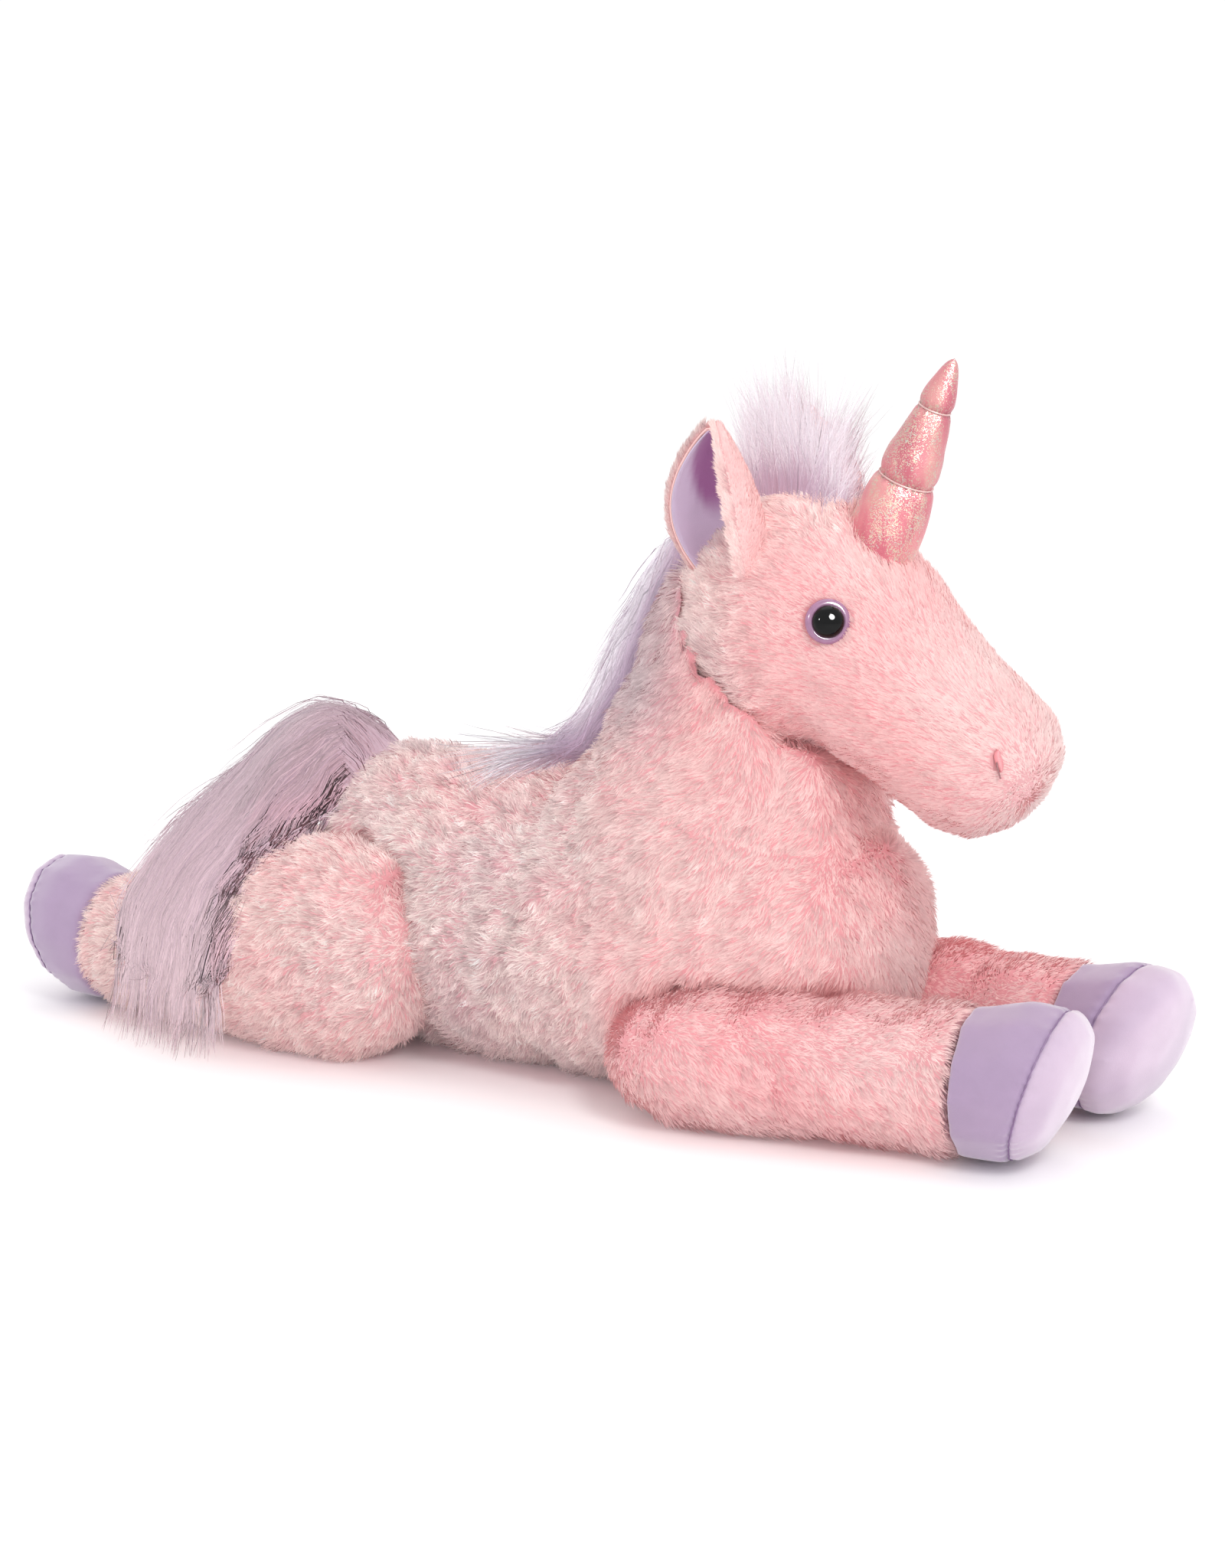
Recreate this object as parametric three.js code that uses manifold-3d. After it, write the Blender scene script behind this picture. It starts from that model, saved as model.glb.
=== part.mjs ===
// Plush unicorn lying on its belly, legs stretched out fore and aft.
// Millimetres. +X runs towards the muzzle, +Y to the toy's left side, +Z up. The origin lies on the ground,
// under the middle of the belly. Right-side pieces have negative Y, and the left-side ones mirror them.
import * as THREE from 'three';
import { mergeVertices } from 'three/addons/utils/BufferGeometryUtils.js';
import Module from 'manifold-3d';

const wasm = await Module();
wasm.setup();

// ---------------------------------------------------------------- driving dimensions
const GAP = 0.35; // clearance kept between neighbouring pieces
const SWING_ROOM = 2; // clearance round a piece that moves
const SKIN = 5; // plush backing with its packed pile
const VELOUR = 2.5; // short-pile cloth of hooves and ear linings
const PANEL = 3; // belly panel thickness
const NECK_SEAM = 175; // level of the seam between trunk and neck
const ROUND = 12; // sides of turned pieces and of the holes they sit in
// How finely a lofted surface is stepped, seen from outside and inside a skin.
const OUTSIDE = { fine: 1, sides: 12 };
const INSIDE = { fine: 0.6, sides: 8 };

const SKULL = new THREE.Vector3(130, 0, 275); // centre of the skull, which the head nods about
const SKULL_RADIUS = 72;
const SKULL_HALF_WIDTH = 68;
const NOD = [0, 4]; // degrees, level to nose down
const MUZZLE_ROOT = new THREE.Vector3(163, 0, 259);
const MUZZLE_DROP = 39; // degrees below level
const MUZZLE_DOME = 27;

const HORN_ROOT = new THREE.Vector3(174.5, 0, 317.5);
const HORN_LEAN = 22.5; // degrees forward of upright
const HORN_RADIUS = 21;
const HORN_LENGTH = 114;
const HORN_WALL = 1.2;
const HORN_RINGS = [{ name: 'lower', at: 42.5, radius: 15.6 }, { name: 'upper', at: 85, radius: 9 }];

const EYE = { forward: 43, out: 54, up: 9, ring: 12.3, dome: 8.8 };
const NOSTRIL = { along: 108.5, above: 31, out: 35 }; // along the muzzle, above its middle, out to the side

const EAR_FOLD = new THREE.Vector3(114, -29, 304);
const EAR_HEIGHT = 80;
const EAR_DEPTH = 31;
const EAR_HALF_WIDTH = 27;
const EAR_ROLL = 1.75; // radians that each half of the leaf is rolled through
const EAR_BACK = 4;
const EAR_LINING = 2;
const EAR_HINGE = new THREE.Vector3(104, -45, 328);
const EAR_FLOP = 10;

const FRONT_SHOULDER = new THREE.Vector3(106, -88, 44);
const FRONT_SPLAY = 18;
const FRONT_LEAD = 14; // how much further forward the left foreleg lies
const HIND_HIP = new THREE.Vector3(-122, -90, 60);
const HIND_TUCK = 6;
const HOOF_BAND = 40;
const HOOF_SLANT = 0.28;
const HOOF_SWELL = [[-22, 0], [2, 1], [22, 4], [42, 2.5]]; // how far past the seam, and how much wider
const HOOF_SOLE = 20;

const TAIL_ROOT = new THREE.Vector3(-168, 0, 168);
const TAIL_LIFT = 20;

// ---------------------------------------------------------------- materials
const cloth = (color, roughness = 0.95) => new THREE.MeshStandardMaterial({ color, roughness, metalness: 0 });
const plushPink = cloth(0xf6bcbb);
const plushPale = cloth(0xf8d5cf);
const hairLilac = cloth(0xd6c0d2, 0.85);
const velourLilac = cloth(0xc4aedc, 0.8);
const fibre = cloth(0xf4f4f2, 1);
const thread = cloth(0xd8788c, 0.7);
const lame = new THREE.MeshStandardMaterial({ color: 0xf29aa6, roughness: 0.35, metalness: 0.35 });
const glitter = new THREE.MeshStandardMaterial({ color: 0xe9dfb8, roughness: 0.3, metalness: 0.6 });
const eyeRim = new THREE.MeshStandardMaterial({ color: 0xb982a5, roughness: 0.15, metalness: 0 });
const eyeBlack = new THREE.MeshStandardMaterial({ color: 0x08080a, roughness: 0.05, metalness: 0 });
const washerWhite = new THREE.MeshStandardMaterial({ color: 0xe8e8e8, roughness: 0.5, metalness: 0 });

// ---------------------------------------------------------------- solids
const X = new THREE.Vector3(1, 0, 0);
const Y = new THREE.Vector3(0, 1, 0);
const Z = new THREE.Vector3(0, 0, 1);
const radians = THREE.MathUtils.degToRad;

function toSolid(geometry) {
  const bare = geometry.clone();
  bare.deleteAttribute('normal');
  bare.deleteAttribute('uv');
  const merged = mergeVertices(bare, 1e-4);
  const vertProperties = Float32Array.from(merged.attributes.position.array);
  const triVerts = Uint32Array.from(merged.index.array);
  return new wasm.Manifold(new wasm.Mesh({ numProp: 3, vertProperties, triVerts }));
}

function toGeometry(solid) {
  const mesh = solid.getMesh();
  const geometry = new THREE.BufferGeometry();
  geometry.setAttribute('position', new THREE.BufferAttribute(mesh.vertProperties, 3));
  geometry.setIndex(new THREE.BufferAttribute(mesh.triVerts, 1));
  geometry.computeVertexNormals();
  return geometry;
}

// A closed skin over rings of equally many points, each end drawn to the middle of its ring.
function skinOver(rings) {
  const points = rings.flat();
  const sides = rings[0].length;
  const index = [];
  for (let k = 0; k + 1 < rings.length; k++) {
    for (let i = 0; i < sides; i++) {
      const a = k * sides + i;
      const b = k * sides + ((i + 1) % sides);
      index.push(a, b, b + sides, a, b + sides, a + sides);
    }
  }
  for (const start of [0, (rings.length - 1) * sides]) {
    const ring = points.slice(start, start + sides);
    const middle = ring.reduce((sum, p) => sum.add(p), new THREE.Vector3()).divideScalar(sides);
    const centre = points.push(middle) - 1;
    for (let i = 0; i < sides; i++) {
      const a = start + i;
      const b = start + ((i + 1) % sides);
      index.push(...(start === 0 ? [centre, b, a] : [centre, a, b]));
    }
  }
  const geometry = new THREE.BufferGeometry().setFromPoints(points);
  geometry.setIndex(index);
  return toSolid(geometry);
}

// A padded tube through stations [x, y, z, half width, half height], its sections square to the path.
// An end with a dome depth closes round; one without is flat, and overrun carries it on. trim pulls the
// whole surface in, and wide is the direction that the first section's width runs in.
function padded(stations, shape) {
  const { lengths = 6, trim = 0, domes = [0, 0], overrun = 0, detail = OUTSIDE, wide = Y } = shape;
  const steps = Math.ceil(lengths * detail.fine);
  const around = detail.sides;
  const path = new THREE.CatmullRomCurve3(stations.map((s) => new THREE.Vector3(...s.slice(0, 3))));
  const sizes = new THREE.CatmullRomCurve3(stations.map((s) => new THREE.Vector3(s[3], s[4], 0)));
  const rings = [];
  let side = wide;
  for (let k = 0; k <= steps; k++) {
    const at = path.getPoint(k / steps);
    const size = sizes.getPoint(k / steps);
    const forward = path.getTangent(k / steps);
    side = side.clone().addScaledVector(forward, -side.dot(forward)).normalize();
    const up = new THREE.Vector3().crossVectors(forward, side);
    const points = [];
    for (let i = 0; i < around; i++) {
      const angle = (i / around) * Math.PI * 2;
      points.push(at.clone().addScaledVector(side, (size.x - trim) * Math.cos(angle))
        .addScaledVector(up, (size.y - trim) * Math.sin(angle)));
    }
    rings.push({ points, at, forward });
  }
  const cap = (end, sign, depth) => [0.45, 0.8].map((turn) => {
    const shrink = Math.cos(turn * Math.PI / 2);
    const push = Math.sin(turn * Math.PI / 2) * (depth - trim) * sign;
    return end.points.map((p) => p.clone().sub(end.at).multiplyScalar(shrink).add(end.at)
      .addScaledVector(end.forward, push));
  });
  const carried = (end, push) => end.points.map((p) => p.clone().addScaledVector(end.forward, push));
  const flat = (end, sign) => (overrun ? [carried(end, sign * overrun)] : []);
  const first = rings[0];
  const last = rings[rings.length - 1];
  const start = domes[0] ? cap(first, -1, domes[0]).reverse() : flat(first, -1);
  const stop = domes[1] ? cap(last, 1, domes[1]) : flat(last, 1);
  return skinOver([...start, ...rings.map((r) => r.points), ...stop]);
}

// A bent sheet: point(u, v) is its middle surface, u and v from 0 to 1, given thickness on both sides.
function sheet(point, across, along, thickness) {
  const step = 1e-3;
  const face = (sign) => {
    const rows = [];
    for (let j = 0; j <= along; j++) {
      for (let i = 0; i <= across; i++) {
        const [u, v] = [i / across, j / along];
        const du = point(Math.min(u + step, 1), v).sub(point(Math.max(u - step, 0), v));
        const dv = point(u, Math.min(v + step, 1)).sub(point(u, Math.max(v - step, 0)));
        rows.push(point(u, v).addScaledVector(du.cross(dv).normalize(), sign * thickness / 2));
      }
    }
    return rows;
  };
  const points = [...face(1), ...face(-1)];
  const back = points.length / 2;
  const width = across + 1;
  const index = [];
  const quad = (a, b, c, d) => index.push(a, b, c, a, c, d);
  for (let j = 0; j < along; j++) {
    for (let i = 0; i < across; i++) {
      const a = j * width + i;
      quad(a, a + 1, a + 1 + width, a + width);
      quad(back + a, back + a + width, back + a + width + 1, back + a + 1);
    }
    const [left, right] = [j * width, j * width + across];
    quad(left, left + width, back + left + width, back + left);
    quad(right + width, right, back + right, back + right + width);
  }
  for (let i = 0; i < across; i++) {
    const top = along * width + i;
    quad(i + 1, i, back + i, back + i + 1);
    quad(top, top + 1, back + top + 1, back + top);
  }
  const geometry = new THREE.BufferGeometry().setFromPoints(points);
  geometry.setIndex(index);
  return toSolid(geometry);
}

const lathe = (profile) => new THREE.LatheGeometry(profile.map(([r, h]) => new THREE.Vector2(r, h)), ROUND);

// A lathe's own axis is Y. This stands it at a place, along a direction.
function standing(geometry, at, along) {
  const turn = new THREE.Quaternion().setFromUnitVectors(Y, along);
  return toSolid(geometry.applyQuaternion(turn).translate(at.x, at.y, at.z));
}

const rod = (radius, from, to, at, along) => standing(
  lathe([[0, from], [radius, from], [radius, to], [0, to]]), at, along);

function block(low, high) {
  const size = high.map((h, k) => h - low[k]);
  const middle = high.map((h, k) => (h + low[k]) / 2);
  return toSolid(new THREE.BoxGeometry(...size).translate(...middle));
}

const below = (z) => block([-600, -400, -300], [600, 400, z]);
const above = (z) => block([-600, -400, z], [600, 400, 700]);
const mirrored = (solid) => solid.mirror([0, 1, 0]);
const bothSides = (solid) => solid.add(mirrored(solid));

function turned(solid, pivot, axis, degrees) {
  const turn = new THREE.Matrix4().makeRotationAxis(axis, radians(degrees));
  const there = new THREE.Matrix4().makeTranslation(pivot.x, pivot.y, pivot.z);
  const back = new THREE.Matrix4().makeTranslation(-pivot.x, -pivot.y, -pivot.z);
  return solid.transform(there.multiply(turn).multiply(back).elements);
}

// The room that a moving solid takes: itself at several angles, joined.
const sweep = (solid, pivot, axis, angles) =>
  wasm.Manifold.union(angles.map((angle) => turned(solid, pivot, axis, angle)));

const unicorn = new THREE.Group();
unicorn.name = 'plush_unicorn';

function place(name, solid, material) {
  const mesh = new THREE.Mesh(toGeometry(solid), material);
  mesh.name = name;
  unicorn.add(mesh);
}

function placePair(name, solid, material) {
  place(`${name}_right`, solid, material);
  place(`${name}_left`, mirrored(solid), material);
}

// ---------------------------------------------------------------- legs
// Each right leg runs from its round top, centred on the joint, to the seam where the hoof starts.
const FRONT_LEG = {
  stations: [[106, -88, 39, 45, 39], [150, -77, 39, 44, 39], [210, -63, 40, 41, 41],
    [264, -56, 42, 40, 42]],
  dome: 45,
};
const HIND_LEG = {
  stations: [[-122, -90, 66, 49, 70], [-170, -94, 62, 50, 65], [-250, -86, 45, 42, 46],
    [-322, -80, 42, 40, 42]],
  dome: 49,
};

const legSolid = (leg, trim, detail, overrun = 0) => padded(leg.stations,
  { lengths: 5, trim, overrun, domes: [leg.dome, 0], detail });

function legRun(leg) {
  const [before, end] = leg.stations.slice(-2);
  return new THREE.Vector3(end[0] - before[0], end[1] - before[1], 0).normalize();
}

// All that lies further along the leg than a distance past its end, slanted.
function pastSeam(leg, distance, slant = 0) {
  const run = legRun(leg);
  const end = new THREE.Vector3(...leg.stations.at(-1)).addScaledVector(run, distance);
  const half = new THREE.BoxGeometry(200, 200, 300).translate(100, 0, 0).rotateZ(Math.atan2(run.y, run.x));
  return slanted(toSolid(half.translate(end.x, end.y, end.z)), leg, slant);
}

// Leans a solid along the leg, by so much for each millimetre above the leg's middle.
function slanted(solid, leg, slant) {
  const { x, y } = legRun(leg).multiplyScalar(slant);
  const middle = leg.stations.at(-1)[2];
  const lean = new THREE.Matrix4().makeShear(0, 0, 0, 0, x, y).setPosition(-x * middle, -y * middle, 0);
  return solid.transform(lean.elements);
}

// The hoof swells a little from the seam and closes in a shallow dome, the sole.
function hoofSolid(leg, trim, detail) {
  const run = legRun(leg);
  const stations = HOOF_SWELL.map(([along, swell]) => {
    const at = new THREE.Vector3(...leg.stations.at(-1)).addScaledVector(run, along);
    return [at.x, at.y, at.z + swell, leg.stations.at(-1)[3] + swell, leg.stations.at(-1)[4] + swell];
  });
  return slanted(padded(stations, { lengths: 3, trim, domes: [0, HOOF_SOLE], detail }), leg, HOOF_SLANT);
}

function legPieces(leg) {
  const stuffed = SKIN + GAP;
  const inside = VELOUR + GAP;
  const thigh = legSolid(leg, 0, OUTSIDE, 10).subtract(pastSeam(leg, 0)).subtract(below(0));
  const hoof = hoofSolid(leg, 0, OUTSIDE).subtract(hoofSolid(leg, VELOUR, INSIDE).subtract(below(VELOUR)));
  const sole = pastSeam(leg, HOOF_BAND, HOOF_SLANT);
  return {
    leg_skin: thigh.subtract(legSolid(leg, SKIN, INSIDE, 10).subtract(below(SKIN))),
    leg_stuffing: legSolid(leg, stuffed, INSIDE, 10).subtract(pastSeam(leg, 0)).subtract(below(stuffed)),
    hoof_band: hoof.intersect(pastSeam(leg, GAP)).subtract(sole).subtract(below(0)),
    hoof_sole: hoof.intersect(pastSeam(leg, HOOF_BAND + GAP, HOOF_SLANT)).subtract(below(0)),
    hoof_stuffing: hoofSolid(leg, inside, INSIDE).intersect(pastSeam(leg, GAP)).subtract(below(inside)),
  };
}

const legMaterials = {
  leg_skin: plushPink,
  leg_stuffing: fibre,
  hoof_band: velourLilac,
  hoof_sole: velourLilac,
  hoof_stuffing: fibre,
};

function placeLegs(end, leg, lead) {
  for (const [piece, solid] of Object.entries(legPieces(leg))) {
    place(`${piece}_${end}_right`, solid, legMaterials[piece]);
    place(`${piece}_${end}_left`, mirrored(solid).translate([lead, 0, 0]), legMaterials[piece]);
  }
}

function legRoom(leg, pivot, angles, lead) {
  const room = sweep(legSolid(leg, -SWING_ROOM, OUTSIDE), pivot, Z, angles);
  return room.add(mirrored(room).translate([lead, 0, 0]));
}

// ---------------------------------------------------------------- trunk and neck
const TRUNK = [[-168, 0, 94, 78, 82], [-108, 0, 84, 102, 92], [-40, 0, 80, 108, 90], [20, 0, 80, 106, 91],
  [80, 0, 84, 102, 95], [130, 0, 90, 94, 96], [166, 0, 92, 72, 78]];
const trunkSolid = (trim, detail) => padded(TRUNK, { lengths: 8, trim, domes: [26, 31], detail });

const NECK = [[70, 0, 96, 99, 116], [77, 0, 140, 95, 104], [86, 0, 178, 85, 88], [91, 0, 217, 73, 73],
  [94, 0, 254, 64, 59], [97, 0, 294, 55, 46]];
const neckSolid = (trim, detail) => padded(NECK, { lengths: 7, trim, domes: [10, 18], detail });
const bodySolid = (trim, detail) => trunkSolid(trim, detail).add(neckSolid(trim, detail));

// ---------------------------------------------------------------- head
const muzzleAlong = new THREE.Vector3(Math.cos(radians(MUZZLE_DROP)), 0, -Math.sin(radians(MUZZLE_DROP)));
const muzzleUp = new THREE.Vector3(-muzzleAlong.z, 0, muzzleAlong.x);
const onMuzzle = (along, above, out = 0) => MUZZLE_ROOT.clone().addScaledVector(muzzleAlong, along)
  .addScaledVector(muzzleUp, above).addScaledVector(Y, -out);

// Muzzle stations as [along, above, half width, half height].
const MUZZLE = [[-30, 0, 60, 60], [10, 3, 60, 58], [45, 4, 52, 47], [80, 6, 48, 44], [100, 6, 46, 43]];
const muzzleSolid = (trim, detail) => padded(
  MUZZLE.map(([along, above, wide, tall]) => [...onMuzzle(along, above), wide, tall]),
  { lengths: 5, trim, domes: [14, MUZZLE_DOME], detail });

function skullSolid(trim, detail) {
  const skull = new THREE.SphereGeometry(1, detail.sides * 1.5, detail.sides).rotateX(Math.PI / 2)
    .scale(SKULL_RADIUS - trim, SKULL_HALF_WIDTH - trim, SKULL_RADIUS - trim);
  return toSolid(skull.translate(SKULL.x, SKULL.y, SKULL.z));
}

const headSolid = (trim, detail = OUTSIDE) => skullSolid(trim, detail).add(muzzleSolid(trim, detail));

// The skull is round about its nod axis, so it turns in a socket of its own shape.
const nodRoom = skullSolid(-SWING_ROOM, OUTSIDE).add(sweep(muzzleSolid(-SWING_ROOM, OUTSIDE), SKULL, Y, NOD));

// ---------------------------------------------------------------- horn
const hornAlong = new THREE.Vector3(Math.sin(radians(HORN_LEAN)), 0, Math.cos(radians(HORN_LEAN)));

// Outline of the horn as [radius, height]: three stuffed lengths, pinched at the two stitched rings.
const HORN_OUTLINE = [[HORN_RADIUS, 0], [20.2, 20], [17.6, 38], [15.2, 42.5], [16, 48], [13.9, 65],
  [10.4, 81], [8.7, 85], [9.3, 90], [7.2, 101], [4.2, 110]];

function hornSolid(trim, foot) {
  const wall = HORN_OUTLINE.map(([r, h]) => [r - trim, h || foot]);
  return standing(lathe([[0, foot], ...wall, [0, HORN_LENGTH - 3 * trim]]), HORN_ROOT, hornAlong);
}

const hornRod = (grow, from, to) => rod(HORN_RADIUS + grow, from, to, HORN_ROOT, hornAlong);

function placeHorn() {
  place('horn_cover', hornSolid(0, 0).subtract(hornSolid(HORN_WALL, -5)), lame);
  place('horn_stuffing', hornSolid(HORN_WALL + GAP, 0), fibre);
  for (const { name, at, radius } of HORN_RINGS) {
    const [inner, outer] = [radius + 2 * GAP, radius + 2 * GAP + 1.8];
    const middle = (inner + outer) / 2;
    const cord = lathe([[inner, at], [middle, at - 0.9], [outer, at], [middle, at + 0.9], [inner, at]]);
    place(`horn_ring_${name}`, standing(cord, HORN_ROOT, hornAlong), glitter);
  }
}

// ---------------------------------------------------------------- eyes and nostrils
const eyeAt = new THREE.Vector3(SKULL.x + EYE.forward, -EYE.out, SKULL.z + EYE.up);
const eyeAlong = new THREE.Vector3(EYE.forward / SKULL_RADIUS ** 2, -EYE.out / SKULL_HALF_WIDTH ** 2,
  EYE.up / SKULL_RADIUS ** 2).normalize();
const eyePart = (profile) => standing(lathe(profile), eyeAt, eyeAlong);
const eyeRod = (radius, from, to) => rod(radius, from, to, eyeAt, eyeAlong);
const STEM = 4;
const eyeRoom = bothSides(wasm.Manifold.union([eyeRod(EYE.ring + GAP, -2.2, 12), eyeRod(STEM + GAP, -22, 0),
  eyeRod(10, -14, -10)]));

function placeEyes() {
  const rim = eyePart([[0, -1.8], [EYE.ring, -1.8], [EYE.ring, 0.6], [EYE.ring - 1, 2.2], [EYE.dome + 1, 3],
    [0, 3]]);
  placePair('eye_ring', rim.subtract(eyeRod(STEM + GAP, -5, 8)), eyeRim);
  placePair('eye_dome', eyePart([[0, -20], [STEM, -20], [STEM, 3 + GAP], [EYE.dome, 3 + GAP],
    [EYE.dome - 1, 5.8], [EYE.dome - 3.8, 8], [0, 9]]), eyeBlack);
  const hole = STEM + 2 * GAP;
  const washer = eyePart([[hole, -13], [9.5, -13], [9.5, -11], [hole, -11], [hole, -13]]);
  placePair('eye_washer', washer, washerWhite);
}

const nostrilAt = onMuzzle(NOSTRIL.along, NOSTRIL.above, NOSTRIL.out);
const nostrilAlong = new THREE.Vector3(0.7, -0.69, 0.17).normalize();

function nostrilSolid(grow) {
  const pad = new THREE.SphereGeometry(1, 10, 6).scale(2.6 + grow, 2 + grow, 7 + grow);
  return standing(pad, nostrilAt, nostrilAlong);
}

// ---------------------------------------------------------------- ears
// A leaf folded along its middle line and open outwards and back. u runs across it and v up it.
function earPoint(inset) {
  const open = new THREE.Vector3(-0.36, -0.93, 0);
  const aside = new THREE.Vector3(0.93, -0.36, 0);
  return (u, v) => {
    const size = Math.sin(Math.PI * (0.25 + 0.72 * v)) ** 0.8;
    const turn = (u - 0.5) * 2 * EAR_ROLL;
    const fold = new THREE.Vector3(-14, -19, 0).multiplyScalar(v * v).add(EAR_FOLD);
    return fold.addScaledVector(Z, inset + v * (EAR_HEIGHT - 2 * inset))
      .addScaledVector(open, inset + (EAR_DEPTH * size - inset) * (1 - Math.cos(turn)))
      .addScaledVector(aside, (EAR_HALF_WIDTH * size - inset) * Math.sin(turn));
  };
}

function placeEars() {
  const room = sweep(headSolid(-GAP), EAR_HINGE, X, [-EAR_FLOP, 0, EAR_FLOP]);
  const layer = (inset, thickness) => sheet(earPoint(inset), 6, 5, thickness).subtract(room);
  placePair('ear_back', layer(0, EAR_BACK), plushPale);
  placePair('ear_lining', layer(EAR_BACK / 2 + 3 * GAP + EAR_LINING / 2, EAR_LINING), velourLilac);
}

// ---------------------------------------------------------------- hair
const MANE = [[50, 0, 316, 12, 10], [33, 0, 278, 17, 15], [12, 0, 232, 20, 16], [-5, 0, 202, 21, 13],
  [-27, 0, 186, 20, 7]];
const FORELOCK = [[102, 0, 352, 11, 18], [126, 0, 362, 16, 28], [148, 0, 350, 14, 20]];
const TAIL_ARCH = [[-172, 0, 168, 21, 21], [-196, -8, 176, 29, 26], [-208, -42, 159, 41, 27],
  [-214, -85, 127, 46, 20]];
const TAIL_FALL = [[-204, -58, 152, 40, 20], [-212, -104, 120, 52, 17], [-219, -134, 92, 50, 13],
  [-225, -143, 64, 46, 10], [-227, -144, 42, 42, 7]];
const TAIL_STUB = [[-171, 0, 167, 10, 9], [-188, -4, 173, 11, 10], [-202, -14, 170, 10, 9]];
const tailSolid = (trim) => padded(TAIL_ARCH, { lengths: 5, trim, domes: [0, 10] })
  .add(padded(TAIL_FALL, { lengths: 5, trim, domes: [10, 0], wide: X }));
const stubSolid = (trim) => padded(TAIL_STUB, { lengths: 2, trim, domes: [5, 5], detail: INSIDE });

// ---------------------------------------------------------------- the toy, trunk first
const frontLegRoom = legRoom(FRONT_LEG, FRONT_SHOULDER, [0, -FRONT_SPLAY], FRONT_LEAD);
const hindLegRoom = legRoom(HIND_LEG, HIND_HIP, [0, -HIND_TUCK], 0);
const legsRoom = frontLegRoom.add(hindLegRoom);
const tailRoom = sweep(tailSolid(-SWING_ROOM).add(stubSolid(-SWING_ROOM)), TAIL_ROOT, Y, [0, TAIL_LIFT]);
const trunkRoom = wasm.Manifold.union([legsRoom, tailRoom, above(NECK_SEAM - GAP)]);
const trunkShell = bodySolid(0, OUTSIDE).subtract(bodySolid(SKIN, INSIDE));
const overPanel = below(PANEL + GAP);
const panel = trunkSolid(0, OUTSIDE).intersect(block([-600, -400, 0], [600, 400, PANEL]));
place('belly_panel', panel.subtract(legsRoom), plushPale);
place('torso_skin', trunkShell.subtract(overPanel).subtract(trunkRoom), plushPink);
place('torso_stuffing', bodySolid(SKIN + GAP, INSIDE).subtract(overPanel).subtract(trunkRoom), fibre);
placeLegs('front', FRONT_LEG, FRONT_LEAD);
placeLegs('hind', HIND_LEG, 0);

const neckRoom = nodRoom.add(below(NECK_SEAM + GAP));
const neckShell = neckSolid(0, OUTSIDE).subtract(neckSolid(SKIN, INSIDE));
place('neck_skin', neckShell.subtract(neckRoom), plushPink);
place('neck_stuffing', neckSolid(SKIN + GAP, INSIDE).subtract(neckRoom), fibre);
const maneRoom = wasm.Manifold.union([neckSolid(-GAP, OUTSIDE), nodRoom, below(NECK_SEAM + 1)]);
place('mane_pile', padded(MANE, { lengths: 5, domes: [8, 8] }).subtract(maneRoom), hairLilac);

const headOpening = rod(32, 20, 120, SKULL, new THREE.Vector3(-0.45, 0, -0.89).normalize());
const headRoom = wasm.Manifold.union([eyeRoom, hornRod(GAP, -GAP, 20), bothSides(nostrilSolid(GAP))]);
const headShell = headSolid(0).subtract(headSolid(SKIN, INSIDE));
place('head_skin', headShell.subtract(headOpening).subtract(headRoom), plushPink);
place('head_stuffing', headSolid(SKIN + GAP, INSIDE).subtract(headRoom), fibre);
placeEyes();
placePair('nostril_stitch', nostrilSolid(0), thread);
placeHorn();
placeEars();
const forelockRoom = headSolid(-GAP).add(hornRod(1, -5, 40));
place('forelock_pile', padded(FORELOCK, { lengths: 4, domes: [8, 8] }).subtract(forelockRoom), hairLilac);

place('tail_root', stubSolid(0), fibre);
place('tail_pile', tailSolid(0).subtract(stubSolid(-GAP)).subtract(hindLegRoom), hairLilac);

export default unicorn;
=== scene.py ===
"""A lying plush unicorn: skins, pile, hair, horn, eyes and hooves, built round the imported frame."""
import math

import bmesh
import bpy
import numpy as np
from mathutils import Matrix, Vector
from mathutils.bvhtree import BVHTree


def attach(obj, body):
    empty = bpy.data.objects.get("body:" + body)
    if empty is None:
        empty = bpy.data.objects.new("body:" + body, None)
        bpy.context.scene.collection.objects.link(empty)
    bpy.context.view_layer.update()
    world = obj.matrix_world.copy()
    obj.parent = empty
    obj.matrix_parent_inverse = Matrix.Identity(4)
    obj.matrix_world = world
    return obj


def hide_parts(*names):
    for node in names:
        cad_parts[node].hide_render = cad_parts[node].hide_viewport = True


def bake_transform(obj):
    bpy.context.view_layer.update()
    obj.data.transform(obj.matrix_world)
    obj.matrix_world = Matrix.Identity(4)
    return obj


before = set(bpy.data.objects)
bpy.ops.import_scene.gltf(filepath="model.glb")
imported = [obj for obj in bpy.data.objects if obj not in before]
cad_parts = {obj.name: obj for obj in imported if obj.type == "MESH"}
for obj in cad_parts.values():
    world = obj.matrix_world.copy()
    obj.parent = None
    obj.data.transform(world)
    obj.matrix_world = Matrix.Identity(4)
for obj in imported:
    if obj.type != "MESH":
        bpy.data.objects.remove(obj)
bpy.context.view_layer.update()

MM = 0.001
SIDES = {"right": 1, "left": -1}
LEGS = [f"{end}_{side}" for end in ("front", "hind") for side in SIDES]
UP = np.array([0, 0, 1.0])
SCENE = bpy.context.scene

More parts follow.
